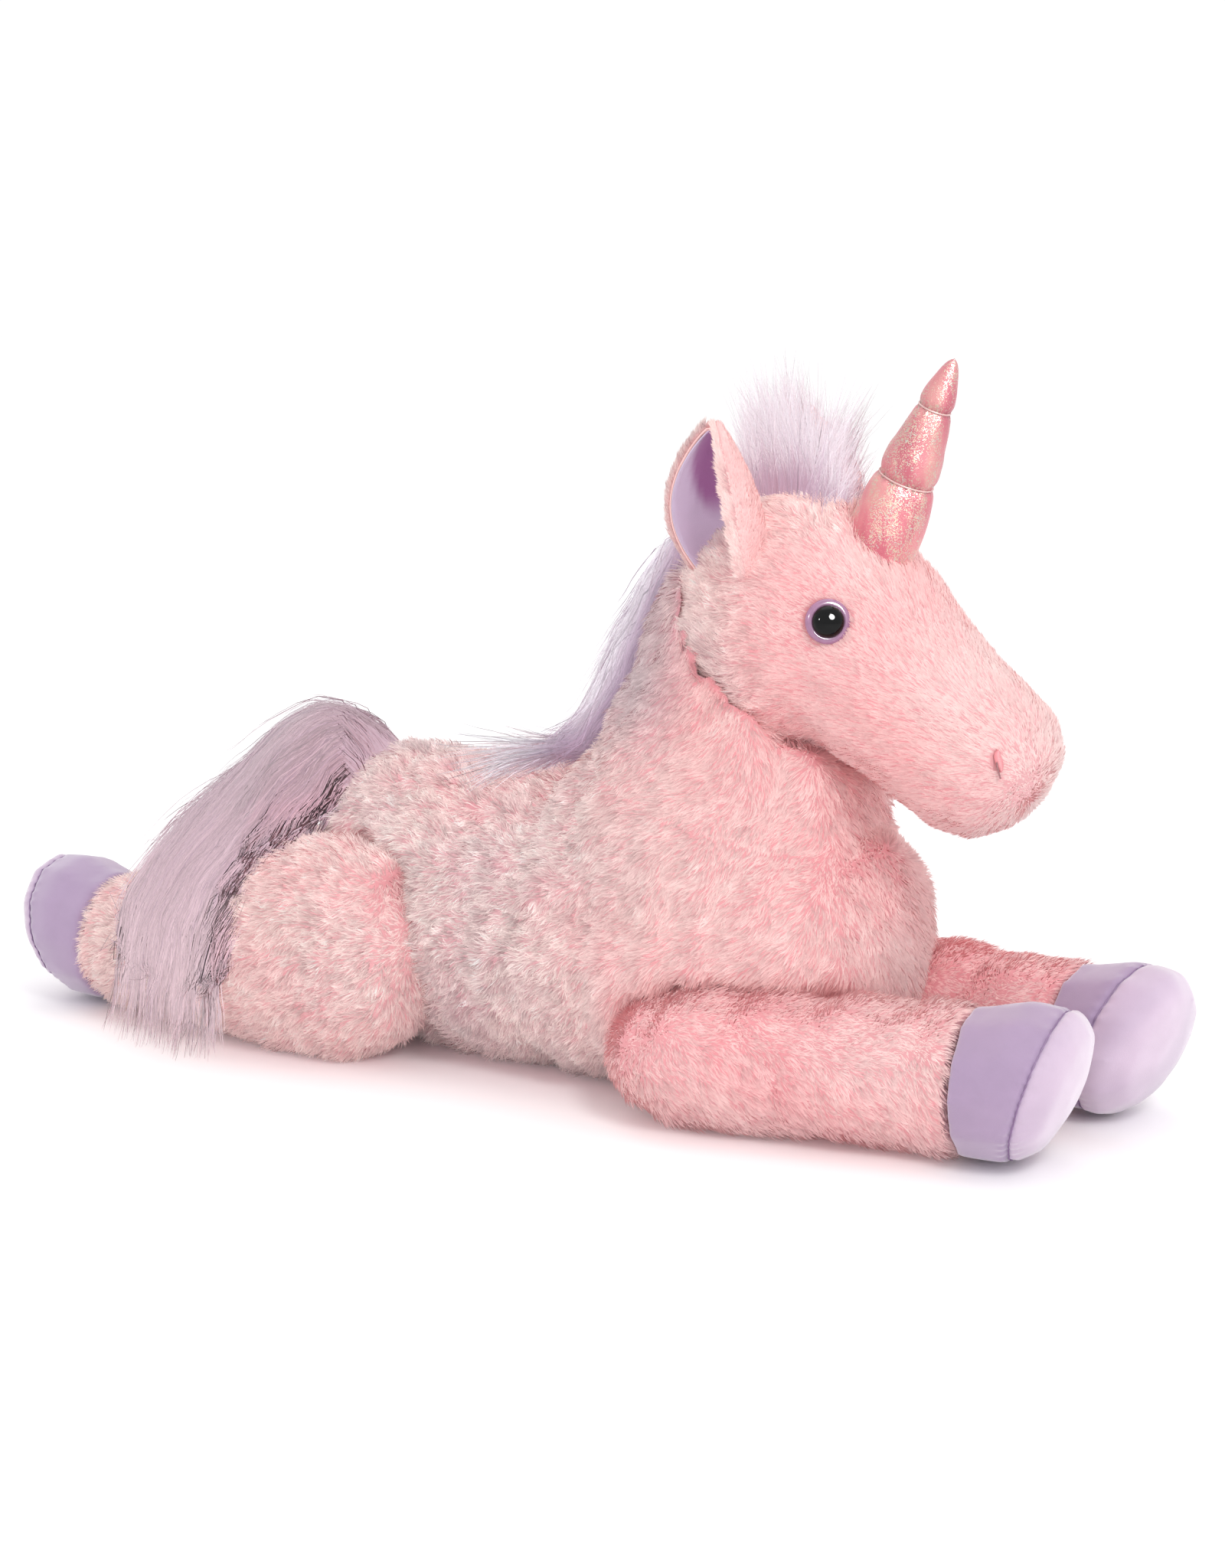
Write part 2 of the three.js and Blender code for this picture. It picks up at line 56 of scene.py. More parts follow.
# Places in the frame, in millimetres, as the CAD has them.
SKULL = np.array([130.0, 0, 275])
MUZZLE_TIP = np.array([262.0, 0, 190])
EYE = np.array([173.0, -54, 284])
EYE_OUT = np.array([43 / 72**2, -54 / 68**2, 9 / 72**2])
EYE_OUT /= np.linalg.norm(EYE_OUT)
NOSTRIL = np.array([266.8, -35, 214.8])
HORN_ROOT = np.array([174.5, 0, 317.5])
HORN_LEAN = math.radians(22.5)
HORN_UP = np.array([math.sin(HORN_LEAN), 0, math.cos(HORN_LEAN)])
HORN_OUTLINE = [(21, 0), (20.8, 10), (20.2, 20), (19.2, 30), (17.6, 38), (15.2, 42.5), (16.2, 47), (16.4, 51),
                (15.6, 58), (13.9, 65), (12.2, 74), (10.4, 81), (8.7, 85), (9.6, 89.5), (8.8, 95), (7.0, 101),
                (4.6, 108), (2.4, 112), (0, 114)]
HORN_RINGS = {"lower": (42.5, 15.5), "upper": (85, 8.9)}
EAR_FOLD = np.array([114.0, -29, 304])
EAR_OPENING, EAR_ASIDE = np.array([-0.36, -0.93, 0]), np.array([0.93, -0.36, 0])
EAR_HEIGHT, EAR_DEPTH, EAR_HALF_WIDTH, EAR_ROLL = 80, 31, 27, 1.75
TAIL_LINE = [(-160, 2, 160), (-176, -2, 170), (-196, -8, 178), (-207, -38, 162), (-212, -76, 134),
             (-218, -112, 106), (-225, -142, 68), (-229, -148, 26)]
MANE_LINE = [(56, 0, 328), (50, 0, 316), (33, 0, 278), (12, 0, 232), (-5, -2, 204), (-27, -8, 190),
             (-62, -27, 183), (-100, -44, 173)]
HOOF_END = {"front": ((264, -56, 42), (0.9917, 0.1286)), "hind": ((-322, -80, 42), (-0.9965, 0.083))}
HOOF_BAND, HOOF_SLANT = 40, 0.28


def lin(*rgb):
    """sRGB from 0 to 255 as linear colour."""
    c = np.array(rgb, float) / 255
    return np.where(c <= 0.04045, c / 12.92, ((c + 0.055) / 1.055) ** 2.4)


ROSE = lin(251, 185, 186)
BLUSH = lin(247, 215, 212)
CREAM = lin(255, 234, 224)
# MAUVE is the colour of the pile's painted shade.
MAUVE = lin(206, 178, 184)
LILAC = lin(222, 206, 224)
LILAC_PALE = lin(243, 236, 244)
LILAC_DARK = lin(160, 132, 158)
TAIL_MAUVE = lin(202, 174, 184)
VELOUR = lin(204, 183, 208)
VELOUR_MID = lin(170, 147, 176)
VELOUR_DARK = lin(146, 118, 160)
EAR_FOLD_SHADE = lin(156, 98, 148)


# ---------------- numbers
def size_of(v):
    return np.linalg.norm(v, axis=-1)


def unit(v):
    return v / np.maximum(np.linalg.norm(v, axis=-1, keepdims=True), 1e-9)


def waves(points, scale, seed, count=7):
    """Smooth noise from -1 to 1, that varies over about this many millimetres."""
    rng = np.random.default_rng(seed)
    total = np.zeros(len(points))
    for _ in range(count):
        k = unit(rng.normal(size=3)) * math.tau / scale * rng.uniform(0.6, 1.5)
        total += np.sin(points @ k + rng.uniform(0, math.tau))
    return np.tanh(total / math.sqrt(count / 2))


def ramp(x, low, high):
    t = np.clip((x - low) / (high - low), 0, 1)
    return t * t * (3 - 2 * t)


def bell(x, width):
    return np.exp(-(x / width) ** 2)


def mix(a, b, t):
    t = np.asarray(t)[..., None]
    return a * (1 - t) + b * t


def spline(points, count):
    """A smooth line through these points, as count points."""
    p = np.array(points, float)
    p = np.vstack([2 * p[0] - p[1], p, 2 * p[-1] - p[-2]])
    t = np.linspace(0, len(p) - 3 - 1e-6, count)
    i = t.astype(int)
    f = (t - i)[:, None]
    a, b, c, d = p[i], p[i + 1], p[i + 2], p[i + 3]
    return 0.5 * (2 * b + (c - a) * f + (2 * a - 5 * b + 4 * c - d) * f**2 + (3 * b - a - 3 * c + d) * f**3)


# ---------------- meshes
def set_values(target, **values):
    for key, value in values.items():
        setattr(target, key, value)
    return target


def placed(name, data):
    piece = bpy.data.objects.new(name, data)
    bpy.context.collection.objects.link(piece)
    return piece


def smoothed(mesh):
    mesh.polygons.foreach_set("use_smooth", [True] * len(mesh.polygons))


def new_piece(name, co, faces):
    """A mesh object from millimetre points and faces."""
    mesh = bpy.data.meshes.new(name)
    mesh.from_pydata((np.asarray(co) * MM).tolist(), [], faces)
    mesh.update()
    smoothed(mesh)
    return placed(name, mesh)


def tube_faces(rings, around, closed=False):
    """Faces between rings of points that follow each other, with flat ends unless the tube is closed."""
    faces = []
    for k in range(rings if closed else rings - 1):
        here, there = k * around, (k + 1) % rings * around
        for i in range(around):
            j = (i + 1) % around
            faces.append((here + i, here + j, there + j, there + i))
    if not closed:
        faces.append(tuple(range(around))[::-1])
        faces.append(tuple((rings - 1) * around + i for i in range(around)))
    return faces


def round_angles(count):
    return np.linspace(0, math.tau, count, endpoint=False)


def vertex_values(piece, kind):
    values = np.empty(len(piece.data.vertices) * 3)
    piece.data.vertices.foreach_get(kind, values)
    return values.reshape(-1, 3)


def points_of(piece):
    return vertex_values(piece, "co") / MM


def normals_of(piece):
    return vertex_values(piece, "normal")


def set_points(piece, co):
    piece.data.vertices.foreach_set("co", (co * MM).ravel())
    piece.data.update()


def applied(piece):
    """The piece with its modifiers made real."""
    graph = bpy.context.evaluated_depsgraph_get()
    mesh = bpy.data.meshes.new_from_object(piece.evaluated_get(graph))
    old = piece.data
    piece.modifiers.clear()
    piece.data = mesh
    bpy.data.meshes.remove(old)
    mesh.name = piece.name
    return piece


def largest_island(piece):
    bm = bmesh.new()
    bm.from_mesh(piece.data)
    unseen, best = set(bm.verts), set()
    while unseen:
        island, front = set(), [unseen.pop()]
        while front:
            vert = front.pop()
            island.add(vert)
            fresh = {edge.other_vert(vert) for edge in vert.link_edges} & unseen
            unseen -= fresh
            front += fresh
        best = max(best, island, key=len)
    bmesh.ops.delete(bm, geom=[v for v in bm.verts if v not in best], context="VERTS")
    bm.to_mesh(piece.data)
    bm.free()
    return piece


def skin_from(name, nodes, voxel, relax, inward=0.0):
    """One smooth closed skin over the CAD solids of these nodes."""
    co, faces = [], []
    for node in nodes:
        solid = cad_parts[node]
        start = sum(len(c) for c in co)
        co.append(points_of(solid))
        faces += [[v + start for v in p.vertices] for p in solid.data.polygons]
    piece = new_piece(name, np.vstack(co), faces)
    set_values(piece.modifiers.new("remesh", "REMESH"), mode="VOXEL", voxel_size=voxel * MM)
    set_values(piece.modifiers.new("soften", "SMOOTH"), factor=0.5, iterations=relax)
    largest_island(applied(piece))
    smoothed(piece.data)
    if inward:
        set_points(piece, points_of(piece) - normals_of(piece) * inward)
    return piece


SIM_FRAMES = 20


def puff(piece, pressure, cap, pinned):
    """Cloth simulation: the piece swells under pressure, by at most cap, where it isn't pinned."""
    before = points_of(piece)
    group = piece.vertex_groups.new(name="pin")
    for k, weight in enumerate(pinned(before)):
        if weight > 0.01:
            group.add([k], float(weight), "REPLACE")
    cloth = piece.modifiers.new("cloth", "CLOTH")
    set_values(cloth.settings, quality=5, mass=0.2, use_pressure=True, uniform_pressure_force=pressure,
               tension_stiffness=25, bending_stiffness=0.4, vertex_group_mass="pin")
    cloth.settings.effector_weights.gravity = 0
    cloth.collision_settings.use_collision = False
    set_values(cloth.point_cache, frame_start=1, frame_end=SIM_FRAMES)
    for number in range(1, SIM_FRAMES + 1):
        SCENE.frame_set(number)
    applied(piece)
    SCENE.frame_set(1)
    moved = points_of(piece) - before
    far = np.linalg.norm(moved, axis=1, keepdims=True)
    set_points(piece, before + moved * np.minimum(1, cap / np.maximum(far, 1e-6)))
    piece.vertex_groups.clear()
    return piece


def tree_of(piece):
    mesh = piece.data
    return BVHTree.FromPolygons([v.co[:] for v in mesh.vertices], [p.vertices[:] for p in mesh.polygons])


def near(points, tree, reach):
    """Which of these points lie within reach of the tree's surface."""
    found = tree.find_nearest
    return np.array([found(p, reach * MM)[0] is not None for p in (points * MM).tolist()])


# ---------------- materials
def new_material(name, roughness, sheen=0.0, coat=0.0, specular=0.3):
    material = bpy.data.materials.new(name)
    material.use_nodes = True
    shader = material.node_tree.nodes["Principled BSDF"]
    values = {"Roughness": roughness, "Specular IOR Level": specular, "Sheen Weight": sheen,
              "Sheen Roughness": 0.5, "Coat Weight": coat}
    for socket, value in values.items():
        shader.inputs[socket].default_value = value
    return material, material.node_tree, shader


def add_node(tree, kind, **values):
    node = tree.nodes.new("ShaderNode" + kind)
    for key, value in values.items():
        if key in node.inputs:
            node.inputs[key].default_value = value
        else:
            setattr(node, key, value)
    return node


def link(source, output, target, into):
    target.id_data.links.new(source.outputs[output], target.inputs[into])


def noise_node(tree, scale, detail=4.0, roughness=0.55):
    where = add_node(tree, "TexCoord")
    noise = add_node(tree, "TexNoise", Scale=scale, Detail=detail, Roughness=roughness)
    link(where, "Object", noise, "Vector")
    return noise


def ramp_node(tree, source, stops, output="Fac"):
    node = add_node(tree, "ValToRGB")
    while len(node.color_ramp.elements) < len(stops):
        node.color_ramp.elements.new(0.5)
    for element, (position, colour) in zip(node.color_ramp.elements, stops):
        element.position = position
        element.color = (*colour, 1)
    link(source, output, node, "Fac")
    return node


def tinted(tree, shader, source, output="Color"):
    """The shader's colour is the source's, times the piece's own tint."""
    tint = add_node(tree, "Attribute", attribute_name="Tint")
    product = add_node(tree, "Mix", data_type="RGBA", blend_type="MULTIPLY", Factor=1)
    link(source, output, product, "A")
    link(tint, "Color", product, "B")
    link(product, "Result", shader, "Base Color")


def bumped(tree, shader, source, output, strength, distance):
    bump = add_node(tree, "Bump", Strength=strength, Distance=distance)
    link(source, output, bump, "Height")
    link(bump, "Normal", shader, "Normal")


def pile_material(name, roughness=0.75, sheen=0.25):
    """Pile and hair: the strand's own tint, with a fine grain."""
    material, tree, shader = new_material(name, roughness, sheen=sheen, specular=0.15)
    tinted(tree, shader, ramp_node(tree, noise_node(tree, 900), [(0.3, (0.9,) * 3), (0.7, (1.0,) * 3)]))
    return material


def cloth_material(name, low, high, scale, bump_scale, bump, sheen=0.4):
    """Backing cloth or velour: two tones and a fine nap."""
    material, tree, shader = new_material(name, 0.9, sheen=sheen, specular=0.2)
    tinted(tree, shader, ramp_node(tree, noise_node(tree, scale), [(0.3, low), (0.7, high)]))
    bumped(tree, shader, noise_node(tree, bump_scale, 6, 0.7), "Fac", bump, 0.0006)
    return material


def lame_material():
    """Soft metallic cloth: salmon pink, with gold and silver glitter in streaks that run up the horn."""
    material, tree, shader = new_material("pink_lame_cloth", 0.45, sheen=0.3, specular=0.3)
    where = add_node(tree, "TexCoord")
    stretch = add_node(tree, "Mapping", Rotation=(0, -HORN_LEAN, 0), Scale=(1, 1, 0.22))
    link(where, "Object", stretch, "Vector")
    tone = add_node(tree, "TexNoise", Scale=70, Detail=3)
    streak = add_node(tree, "TexNoise", Scale=95, Detail=4, Roughness=0.6)
    for texture in (tone, streak):
        link(stretch, "Vector", texture, "Vector")
    fleck = add_node(tree, "TexVoronoi", Scale=2000)
    hue = add_node(tree, "TexNoise", Scale=420, Detail=2)
    for texture in (fleck, hue):
        link(where, "Object", texture, "Vector")
    base = ramp_node(tree, tone, [
        (0.36, lin(206, 108, 124)), (0.5, lin(222, 132, 142)), (0.64, lin(228, 158, 156))])
    glitter = ramp_node(tree, hue, [
        (0.36, lin(226, 192, 178)), (0.5, lin(212, 200, 172)), (0.62, lin(198, 204, 190))])
    grain = add_node(tree, "SeparateColor")
    link(fleck, "Color", grain, "Color")
    spark = add_node(tree, "Math", operation="MULTIPLY")
    dense = ramp_node(tree, streak, [(0.42, (0.46,) * 3), (0.62, (0.95,) * 3)])
    link(grain, "Red", spark, 0)
    link(dense, "Color", spark, 1)
    mask = ramp_node(tree, spark, [(0.42, (0, 0, 0)), (0.55, (0.9,) * 3)], "Value")
    blend = add_node(tree, "Mix", data_type="RGBA")
    for source, socket in ((mask, "Factor"), (base, "A"), (glitter, "B")):
        link(source, "Color", blend, socket)
    tinted(tree, shader, blend, "Result")
    for socket, low, high in (("Roughness", 0.6, 0.38), ("Metallic", 0.1, 0.45)):
        span = add_node(tree, "MapRange", **{"To Min": low, "To Max": high})
        link(mask, "Color", span, "Value")
        link(span, "Result", shader, socket)
    bumped(tree, shader, fleck, "Distance", 0.35, 0.0004)
    return material


def plastic_material(name, colour, roughness, coat=0.0, specular=0.5):
    material, tree, shader = new_material(name, roughness, coat=coat, specular=specular)
    low = np.array(colour) * 0.85
    tone = ramp_node(tree, noise_node(tree, 220), [(0.35, low), (0.65, colour)])
    link(tone, "Color", shader, "Base Color")
    return material


def paint(piece, colours):
    """Gives the piece its tint, one colour for each point."""
    attribute = piece.data.color_attributes.new("Tint", "FLOAT_COLOR", "POINT")
    rgba = np.ones((len(piece.data.vertices), 4))
    rgba[:, :3] = colours
    attribute.data.foreach_set("color", rgba.ravel())


def dress(piece, material):
    piece.data.materials.clear()
    piece.data.materials.append(material)


# ---------------- pile
def scatter(piece, density, rng, weight=None):
    """Random points on the piece, so many for each square millimetre, with their normals."""
    mesh = piece.data
    mesh.calc_loop_triangles()
    tri = np.empty(len(mesh.loop_triangles) * 3, int)
    mesh.loop_triangles.foreach_get("vertices", tri)
    tri = tri.reshape(-1, 3)
    co, normal = points_of(piece), normals_of(piece)
    a, b, c = co[tri.T]
    area = size_of(np.cross(b - a, c - a)) / 2
    if weight is not None:
        area = area * weight((a + b + c) / 3)
    total = area.sum()
    pick = rng.choice(len(tri), int(total * density), p=area / total)
    u, v = rng.random(len(pick)), rng.random(len(pick))
    flip = u + v > 1
    u[flip], v[flip] = 1 - u[flip], 1 - v[flip]
    w = np.stack([1 - u - v, u, v], 1)[..., None]
    at = (co[tri[pick]] * w).sum(1)
    return at, unit((normal[tri[pick]] * w).sum(1))


def clumped(at, cell, rng):
    """The middle of the clump that each point belongs to."""
    key = np.floor(at / cell + rng.random(3)).astype(int)
    _, which = np.unique(key, axis=0, return_inverse=True)
    which = which.ravel()
    count = np.bincount(which)
    middle = np.stack([np.bincount(which, at[:, k]) / count for k in range(3)], 1)
    return middle[which], which


def strand_mesh(name, lines, side, width, shade, colours):
    """Flat tapered strands as one mesh. lines is (strands, points, 3), and a strand ends in one tip point."""
    n, m, _ = lines.shape
    profile = np.linspace(1, 0.35, m - 1) if m > 3 else np.array([1, 0.8])
    half = side[:, None] * (width[:, None] * profile[None] / 2)[..., None]
    pairs = np.stack([lines[:, :-1] - half, lines[:, :-1] + half], 2).reshape(n, 2 * (m - 1), 3)
    co = np.concatenate([pairs, lines[:, -1:]], 1)
    per = 2 * m - 1
    faces = []
    for k in range(m - 2):
        a, b, c, d = 2 * k, 2 * k + 1, 2 * k + 3, 2 * k + 2
        faces += [[a, b, c], [a, c, d]]
    faces.append([per - 3, per - 2, per - 1])
    index = (np.array(faces)[None] + (np.arange(n) * per)[:, None, None]).reshape(-1)
    mesh = bpy.data.meshes.new(name)
    mesh.vertices.add(n * per)
    mesh.vertices.foreach_set("co", (co * MM).ravel())
    mesh.loops.add(len(index))
    mesh.loops.foreach_set("vertex_index", index)
    mesh.polygons.add(len(index) // 3)
    mesh.polygons.foreach_set("loop_start", np.arange(0, len(index), 3))
    smoothed(mesh)
    mesh.update(calc_edges=True)

    def spread(values):
        return np.concatenate([np.repeat(values[:, :-1], 2, axis=1), values[:, -1:]], 1).reshape(-1, 3)

    facing = np.repeat(shade, per, axis=0) if shade.ndim == 2 else spread(shade)
    mesh.normals_split_custom_set_from_vertices(facing.tolist())
    piece = placed(name, mesh)
    paint(piece, spread(colours))
    # Light passes between fine fibres, and the skin below stops it.
    piece.visible_shadow = piece.visible_diffuse = False
    return piece


def pile(name, at, normal, comb, length, width, lift, tone, rng, cell, gather, rough):
    """Short pile: bent tapered tufts that lean along comb and gather at their tips, ruffled by rough, which
    also sets how strongly light and shade are painted on them.
    """
    n = len(at)
    rough = np.broadcast_to(rough, n)
    lean = unit(comb - normal * (comb * normal).sum(1, keepdims=True))
    turn = rough * (waves(at, 45, 5) * 0.5 + waves(at, 13, 6) * 0.5 + rng.normal(0, 0.3, n))
    across = np.cross(normal, lean)
    lean = lean * np.cos(turn)[:, None] + across * np.sin(turn)[:, None]
    middle, which = clumped(at, cell, rng)
    pull = middle - at
    pull -= normal * (pull * normal).sum(1, keepdims=True)
    size = (length * rng.uniform(0.7, 1.15, n) * (1 + 0.15 * rough * waves(at, 9, 8)))[:, None]
    rise = lift * rng.uniform(0.75, 1.25, n) * (1 + 0.2 * rough * waves(at, 16, 10))
    rise = np.clip(rise, 0.1, 0.95)[:, None]
    steps = [(0, -0.1), (0.5, 0.68), (1, 1)]
    lines = np.stack([at + size * (lean * along * np.sqrt(1 - rise**2) + normal * up * rise)
                      + pull * (gather * rough * along**1.5)[:, None] for along, up in steps], 1)
    lines[..., 2] = np.maximum(lines[..., 2], 0.4)
    run = unit(lines[:, 2] - lines[:, 0])
    side = unit(np.cross(run, normal))
    twist = rng.uniform(-0.9, 0.9, n)[:, None]
    side = side * np.cos(twist) + np.cross(run, side) * np.sin(twist)
    flutter = unit(rng.normal(size=(n, 3)))
    clump_tilt = unit(rng.normal(size=(which.max() + 1, 3)))[which]
    shade = unit(normal + 0.2 * lean + rough[:, None] * (0.14 * flutter + 0.2 * clump_tilt))
    # Painted light and shade: clumps and strands are painted lighter or darker, and redder where darker, in
    # place of the shading among tufts that cast no shadows.
    clump_painted_shading = rng.normal(0, 0.07, which.max() + 1)[which]
    painted_shading = np.exp(rough * (rng.normal(-0.04, 0.1, n) + clump_painted_shading + 0.07 * waves(at, 14, 15)))[:, None]
    painted_shading = painted_shading ** np.array([1.0, 1.25, 1.2])
    root, body, tip = tone
    # The roots' painted shade is stronger where the pile is rougher.
    root = mix(body, root, np.clip(rough + 0.1, 0, 1))
    colours = np.stack([root * painted_shading, mix(body, tip, 0.3) * painted_shading, tip * painted_shading], 1)
    return strand_mesh(name, lines, side, width * rng.uniform(0.8, 1.2, n), shade, np.clip(colours, 0, 1))


def tones(rosy, cream, painted_shade):
    """Root, middle and tip colours of pile that is this rosy and creamy, and this far darkened to mauve as
    painted shade, each from 0 to 1.
    """
    body = mix(mix(BLUSH, ROSE, np.clip(rosy, 0, 1)), MAUVE, np.clip(painted_shade, 0, 1))
    tip = mix(body, CREAM, 0.2 + 0.7 * np.clip(cream, 0, 1))
    # The roots are darker and redder than the pile's body: painted shade deep in the pile, where the strands
    # cast none.
    return body * np.array([0.84, 0.62, 0.66]), body, tip


def body_tones(at):
    """The chest is rosy, the barrel paler with painted mauve shade that is darker under the belly and on the
    nape, and soft patches run through both.
    """
    x, _, z = at.T
    front = ramp(x, -30, 110)
    back = bell(x + 50, 60) * ramp(z, 120, 170)
    # nape: painted shade on the back of the neck, behind the head, with less cream there.
    nape = ramp(z, 180, 240) * ramp(-x, -110, -55)
    rosy = 0.22 + 0.4 * front + 0.2 * waves(at, 110, 21) + 0.5 * back + 0.25 * ramp(z, 140, 200)
    cream = (0.8 + 0.25 * waves(at, 60, 23) + 0.15 * waves(at, 14, 24)) * (1 - 0.6 * front) - 0.4 * nape
    # Painted shade: the barrel is darkened to mauve, and more so under the belly and on the nape.
    painted_shade = (0.5 + 0.16 * waves(at, 80, 25)) * (1 - front) * (1 - 0.6 * back)
    return tones(rosy, cream, painted_shade + 0.25 * ramp(-z, -70, -10) + 0.8 * nape)


def face_slope(at):
    """How high each point lies above a line that falls with the face."""
    return at[:, 2] + 0.85 * (at[:, 0] - SKULL[0])


def head_tones(at):
    """The face is pale at the muzzle and rosier below the eye, with creamy cheeks and poll, and painted mauve
    shade low on the back of the cheeks, beside the neck.
    """
    x, _, z = at.T
    slope = face_slope(at)
    cheek = ramp(-x, -135, -95)
    poll = ramp(z, 320, 338)
    rosy = 0.72 + 0.2 * ramp(-slope, -325, -280) - 0.4 * ramp(x, 215, 255) + 0.15 * waves(at, 70, 27)
    cream = 0.15 + 0.12 * waves(at, 40, 28) + 0.5 * cheek + 0.5 * poll + 0.5 * ramp(-slope, -250, -205)
    # Painted shade low on the back of the cheeks, where they face the neck.
    return tones(rosy * (1 - 0.6 * cheek) - 0.2 * poll, cream, 0.6 * cheek * ramp(-z, -300, -250))


def leg_tones(at):
    """The legs are rosy, with a paler band beside each hoof, and painted shade low down."""
    x, _, z = at.T
    hoof = bell(np.abs(x) - 245, 35)
    hind = ramp(-x, 0, 60)
    rosy = 0.9 + 0.2 * waves(at, 80, 29) - 0.3 * hoof - 0.4 * hind
    cream = 0.05 + 0.2 * waves(at, 45, 30) + 0.25 * hoof + 0.65 * hind
    # Painted shade: the legs are darkened to mauve low down, near the floor.
    return tones(rosy, cream, 0.08 + 0.08 * hind * waves(at, 70, 33) + 0.2 * ramp(-z, -30, -5))


# ---------------- long hair
LOCK = 9.0  # the size of a lock of long hair at its roots


def combed(name, core, line, density, stride, rise, rng, width, tone, splay=0.2, beyond=1.0, sag=0.2,
           shown=lambda at, normal: np.ones(len(at), bool), steps=8):
    """Long pile grown from a dense core and combed along a line. Each strand follows the core's surface,
    rising as it goes. Where the core ends it runs on by itself, beyond times as fast, and sags."""
    path = spline(line, 240)
    forward = unit(np.gradient(path, axis=0))
    surface = tree_of(core)
    at, normal = scatter(core, density, rng)
    chosen = shown(at, normal)
    at, normal = at[chosen], normal[chosen]
    n = len(at)
    _, which = clumped(at, LOCK, rng)
    count = which.max() + 1
    sway = rng.normal(0, 1, (count, 3))[which] * splay * 0.6 + rng.normal(0, 1, (n, 3)) * splay * 0.5
    height = rise * rng.uniform(0.3, 1.2, n) * (1 + 0.5 * rng.random(count)[which])
    wild = rng.random(n) < 0.12
    height[wild] *= 2.0
    step = stride * rng.uniform(0.6, 1.25, n)
    loose = np.zeros(n, bool)
    here, facing = at + normal * 0.4, normal.copy()
    lines, outward = [at - normal * 0.5], [normal]
    for k in range(steps):
        row = np.argmin(((here[:, None, :] - path[None, ::4]) ** 2).sum(2), 1) * 4
        turn = 0.16 * waves(here, 26, 81)[:, None] * np.cross(forward[row], facing)
        way = unit(forward[row] + sway * (0.4 + 0.6 * k / steps) + turn)
        here = here + way * (step * np.where(loose, beyond, 1.0))[:, None]
        here[loose, 2] -= step[loose] * sag * beyond
        lift = height * (0.3 + 0.7 * (k + 1) / steps)
        for i in np.nonzero(~loose)[0]:
            near_at, near_normal, _, gap = surface.find_nearest((here[i] * MM).tolist())
            if gap / MM > 0.55 * step[i] + 1.2 * lift[i]:
                loose[i] = True
                continue
            here[i] = np.array(near_at) / MM + np.array(near_normal) * lift[i]
            facing[i] = near_normal
        here[:, 2] = np.maximum(here[:, 2], 1.0)
        lines.append(here.copy())
        outward.append(facing.copy())
    lines, outward = np.stack(lines, 1), np.stack(outward, 1)
    run = unit(lines[:, -1] - lines[:, 0])
    flat = unit(np.cross(run, outward[:, steps // 2]) + rng.normal(0, 0.3, (n, 3)))
    tilt = rng.normal(0, 0.28, (count, 3))[which][:, None] + rng.normal(0, 0.2, (n, 1, 3))
    lock_tone = 1 + 0.07 * rng.normal(size=count)[which][:, None, None] + 0.08 * rng.normal(size=(n, 1, 1))
    colours = np.clip(tone(lines, outward, rng) * lock_tone, 0, 1)
    # Hair tucked against the body is lit from outside.
    tucked = ramp(outward[..., :1], -0.1, 0.5) * [-0.6, -1.0, 0.8]
    shade = unit(outward + tilt + tucked)
    return strand_mesh(name, lines, flat, width * rng.uniform(0.6, 1.3, n), shade, colours)


# ---------------- materials of this toy
PILE = pile_material("plush_pile")
HAIR = pile_material("long_pile", 0.5, 0.15)
BACKING = cloth_material("plush_backing", (0.86, 0.82, 0.83), (1.0,) * 3, 40, 700, 0.5)
VELOUR_CLOTH = cloth_material("lilac_velour_cloth", (0.93,) * 3, (1.0,) * 3, 60, 1500, 0.35, sheen=0.8)
LAME = lame_material()
CORD = plastic_material("glitter_cord_silver", lin(222, 186, 182), 0.35)
THREAD = plastic_material("satin_thread", lin(232, 146, 152), 0.6)
NOSTRIL_THREAD = plastic_material("nostril_thread_dark", lin(150, 96, 100), 0.7)
SEAM_THREAD = plastic_material("seam_thread_purple", lin(136, 106, 146), 0.7)
EYE_RIM = plastic_material("eye_rim_mauve", lin(164, 118, 152), 0.2, 0.4)
EYE_BLACK = plastic_material("eye_black_gloss", (0.003, 0.003, 0.0035), 0.04, specular=0.2)
WASHER = plastic_material("washer_white", (0.8, 0.8, 0.8), 0.5)


# ---------------- skins
LEG_NODES = ("leg_skin", "leg_stuffing")
HEAD_NODES = ("head_skin", "head_stuffing")
HOOF_NODES = ("hoof_band", "hoof_sole", "hoof_stuffing")
TRUNK_NODES = ("torso_skin", "torso_stuffing", "belly_panel", "neck_skin", "neck_stuffing")


def rumpled(piece, seed, *layers):
    """Soft hollows and swellings in a stuffed skin. A layer is (height, scale, drawn out each way)."""
    co = points_of(piece)
    height = sum(tall * waves(co * np.array(drawn), scale, seed + k)
                 for k, (tall, scale, drawn) in enumerate(layers))
    set_points(piece, co + normals_of(piece) * height[:, None])


def pressed(piece):
    """Nothing reaches below the ground."""
    co = points_of(piece)
    co[:, 2] = np.maximum(co[:, 2], 0.2)
    set_points(piece, co)


def nodes_of(leg, kinds):
    return [f"{kind}_{leg}" for kind in kinds]


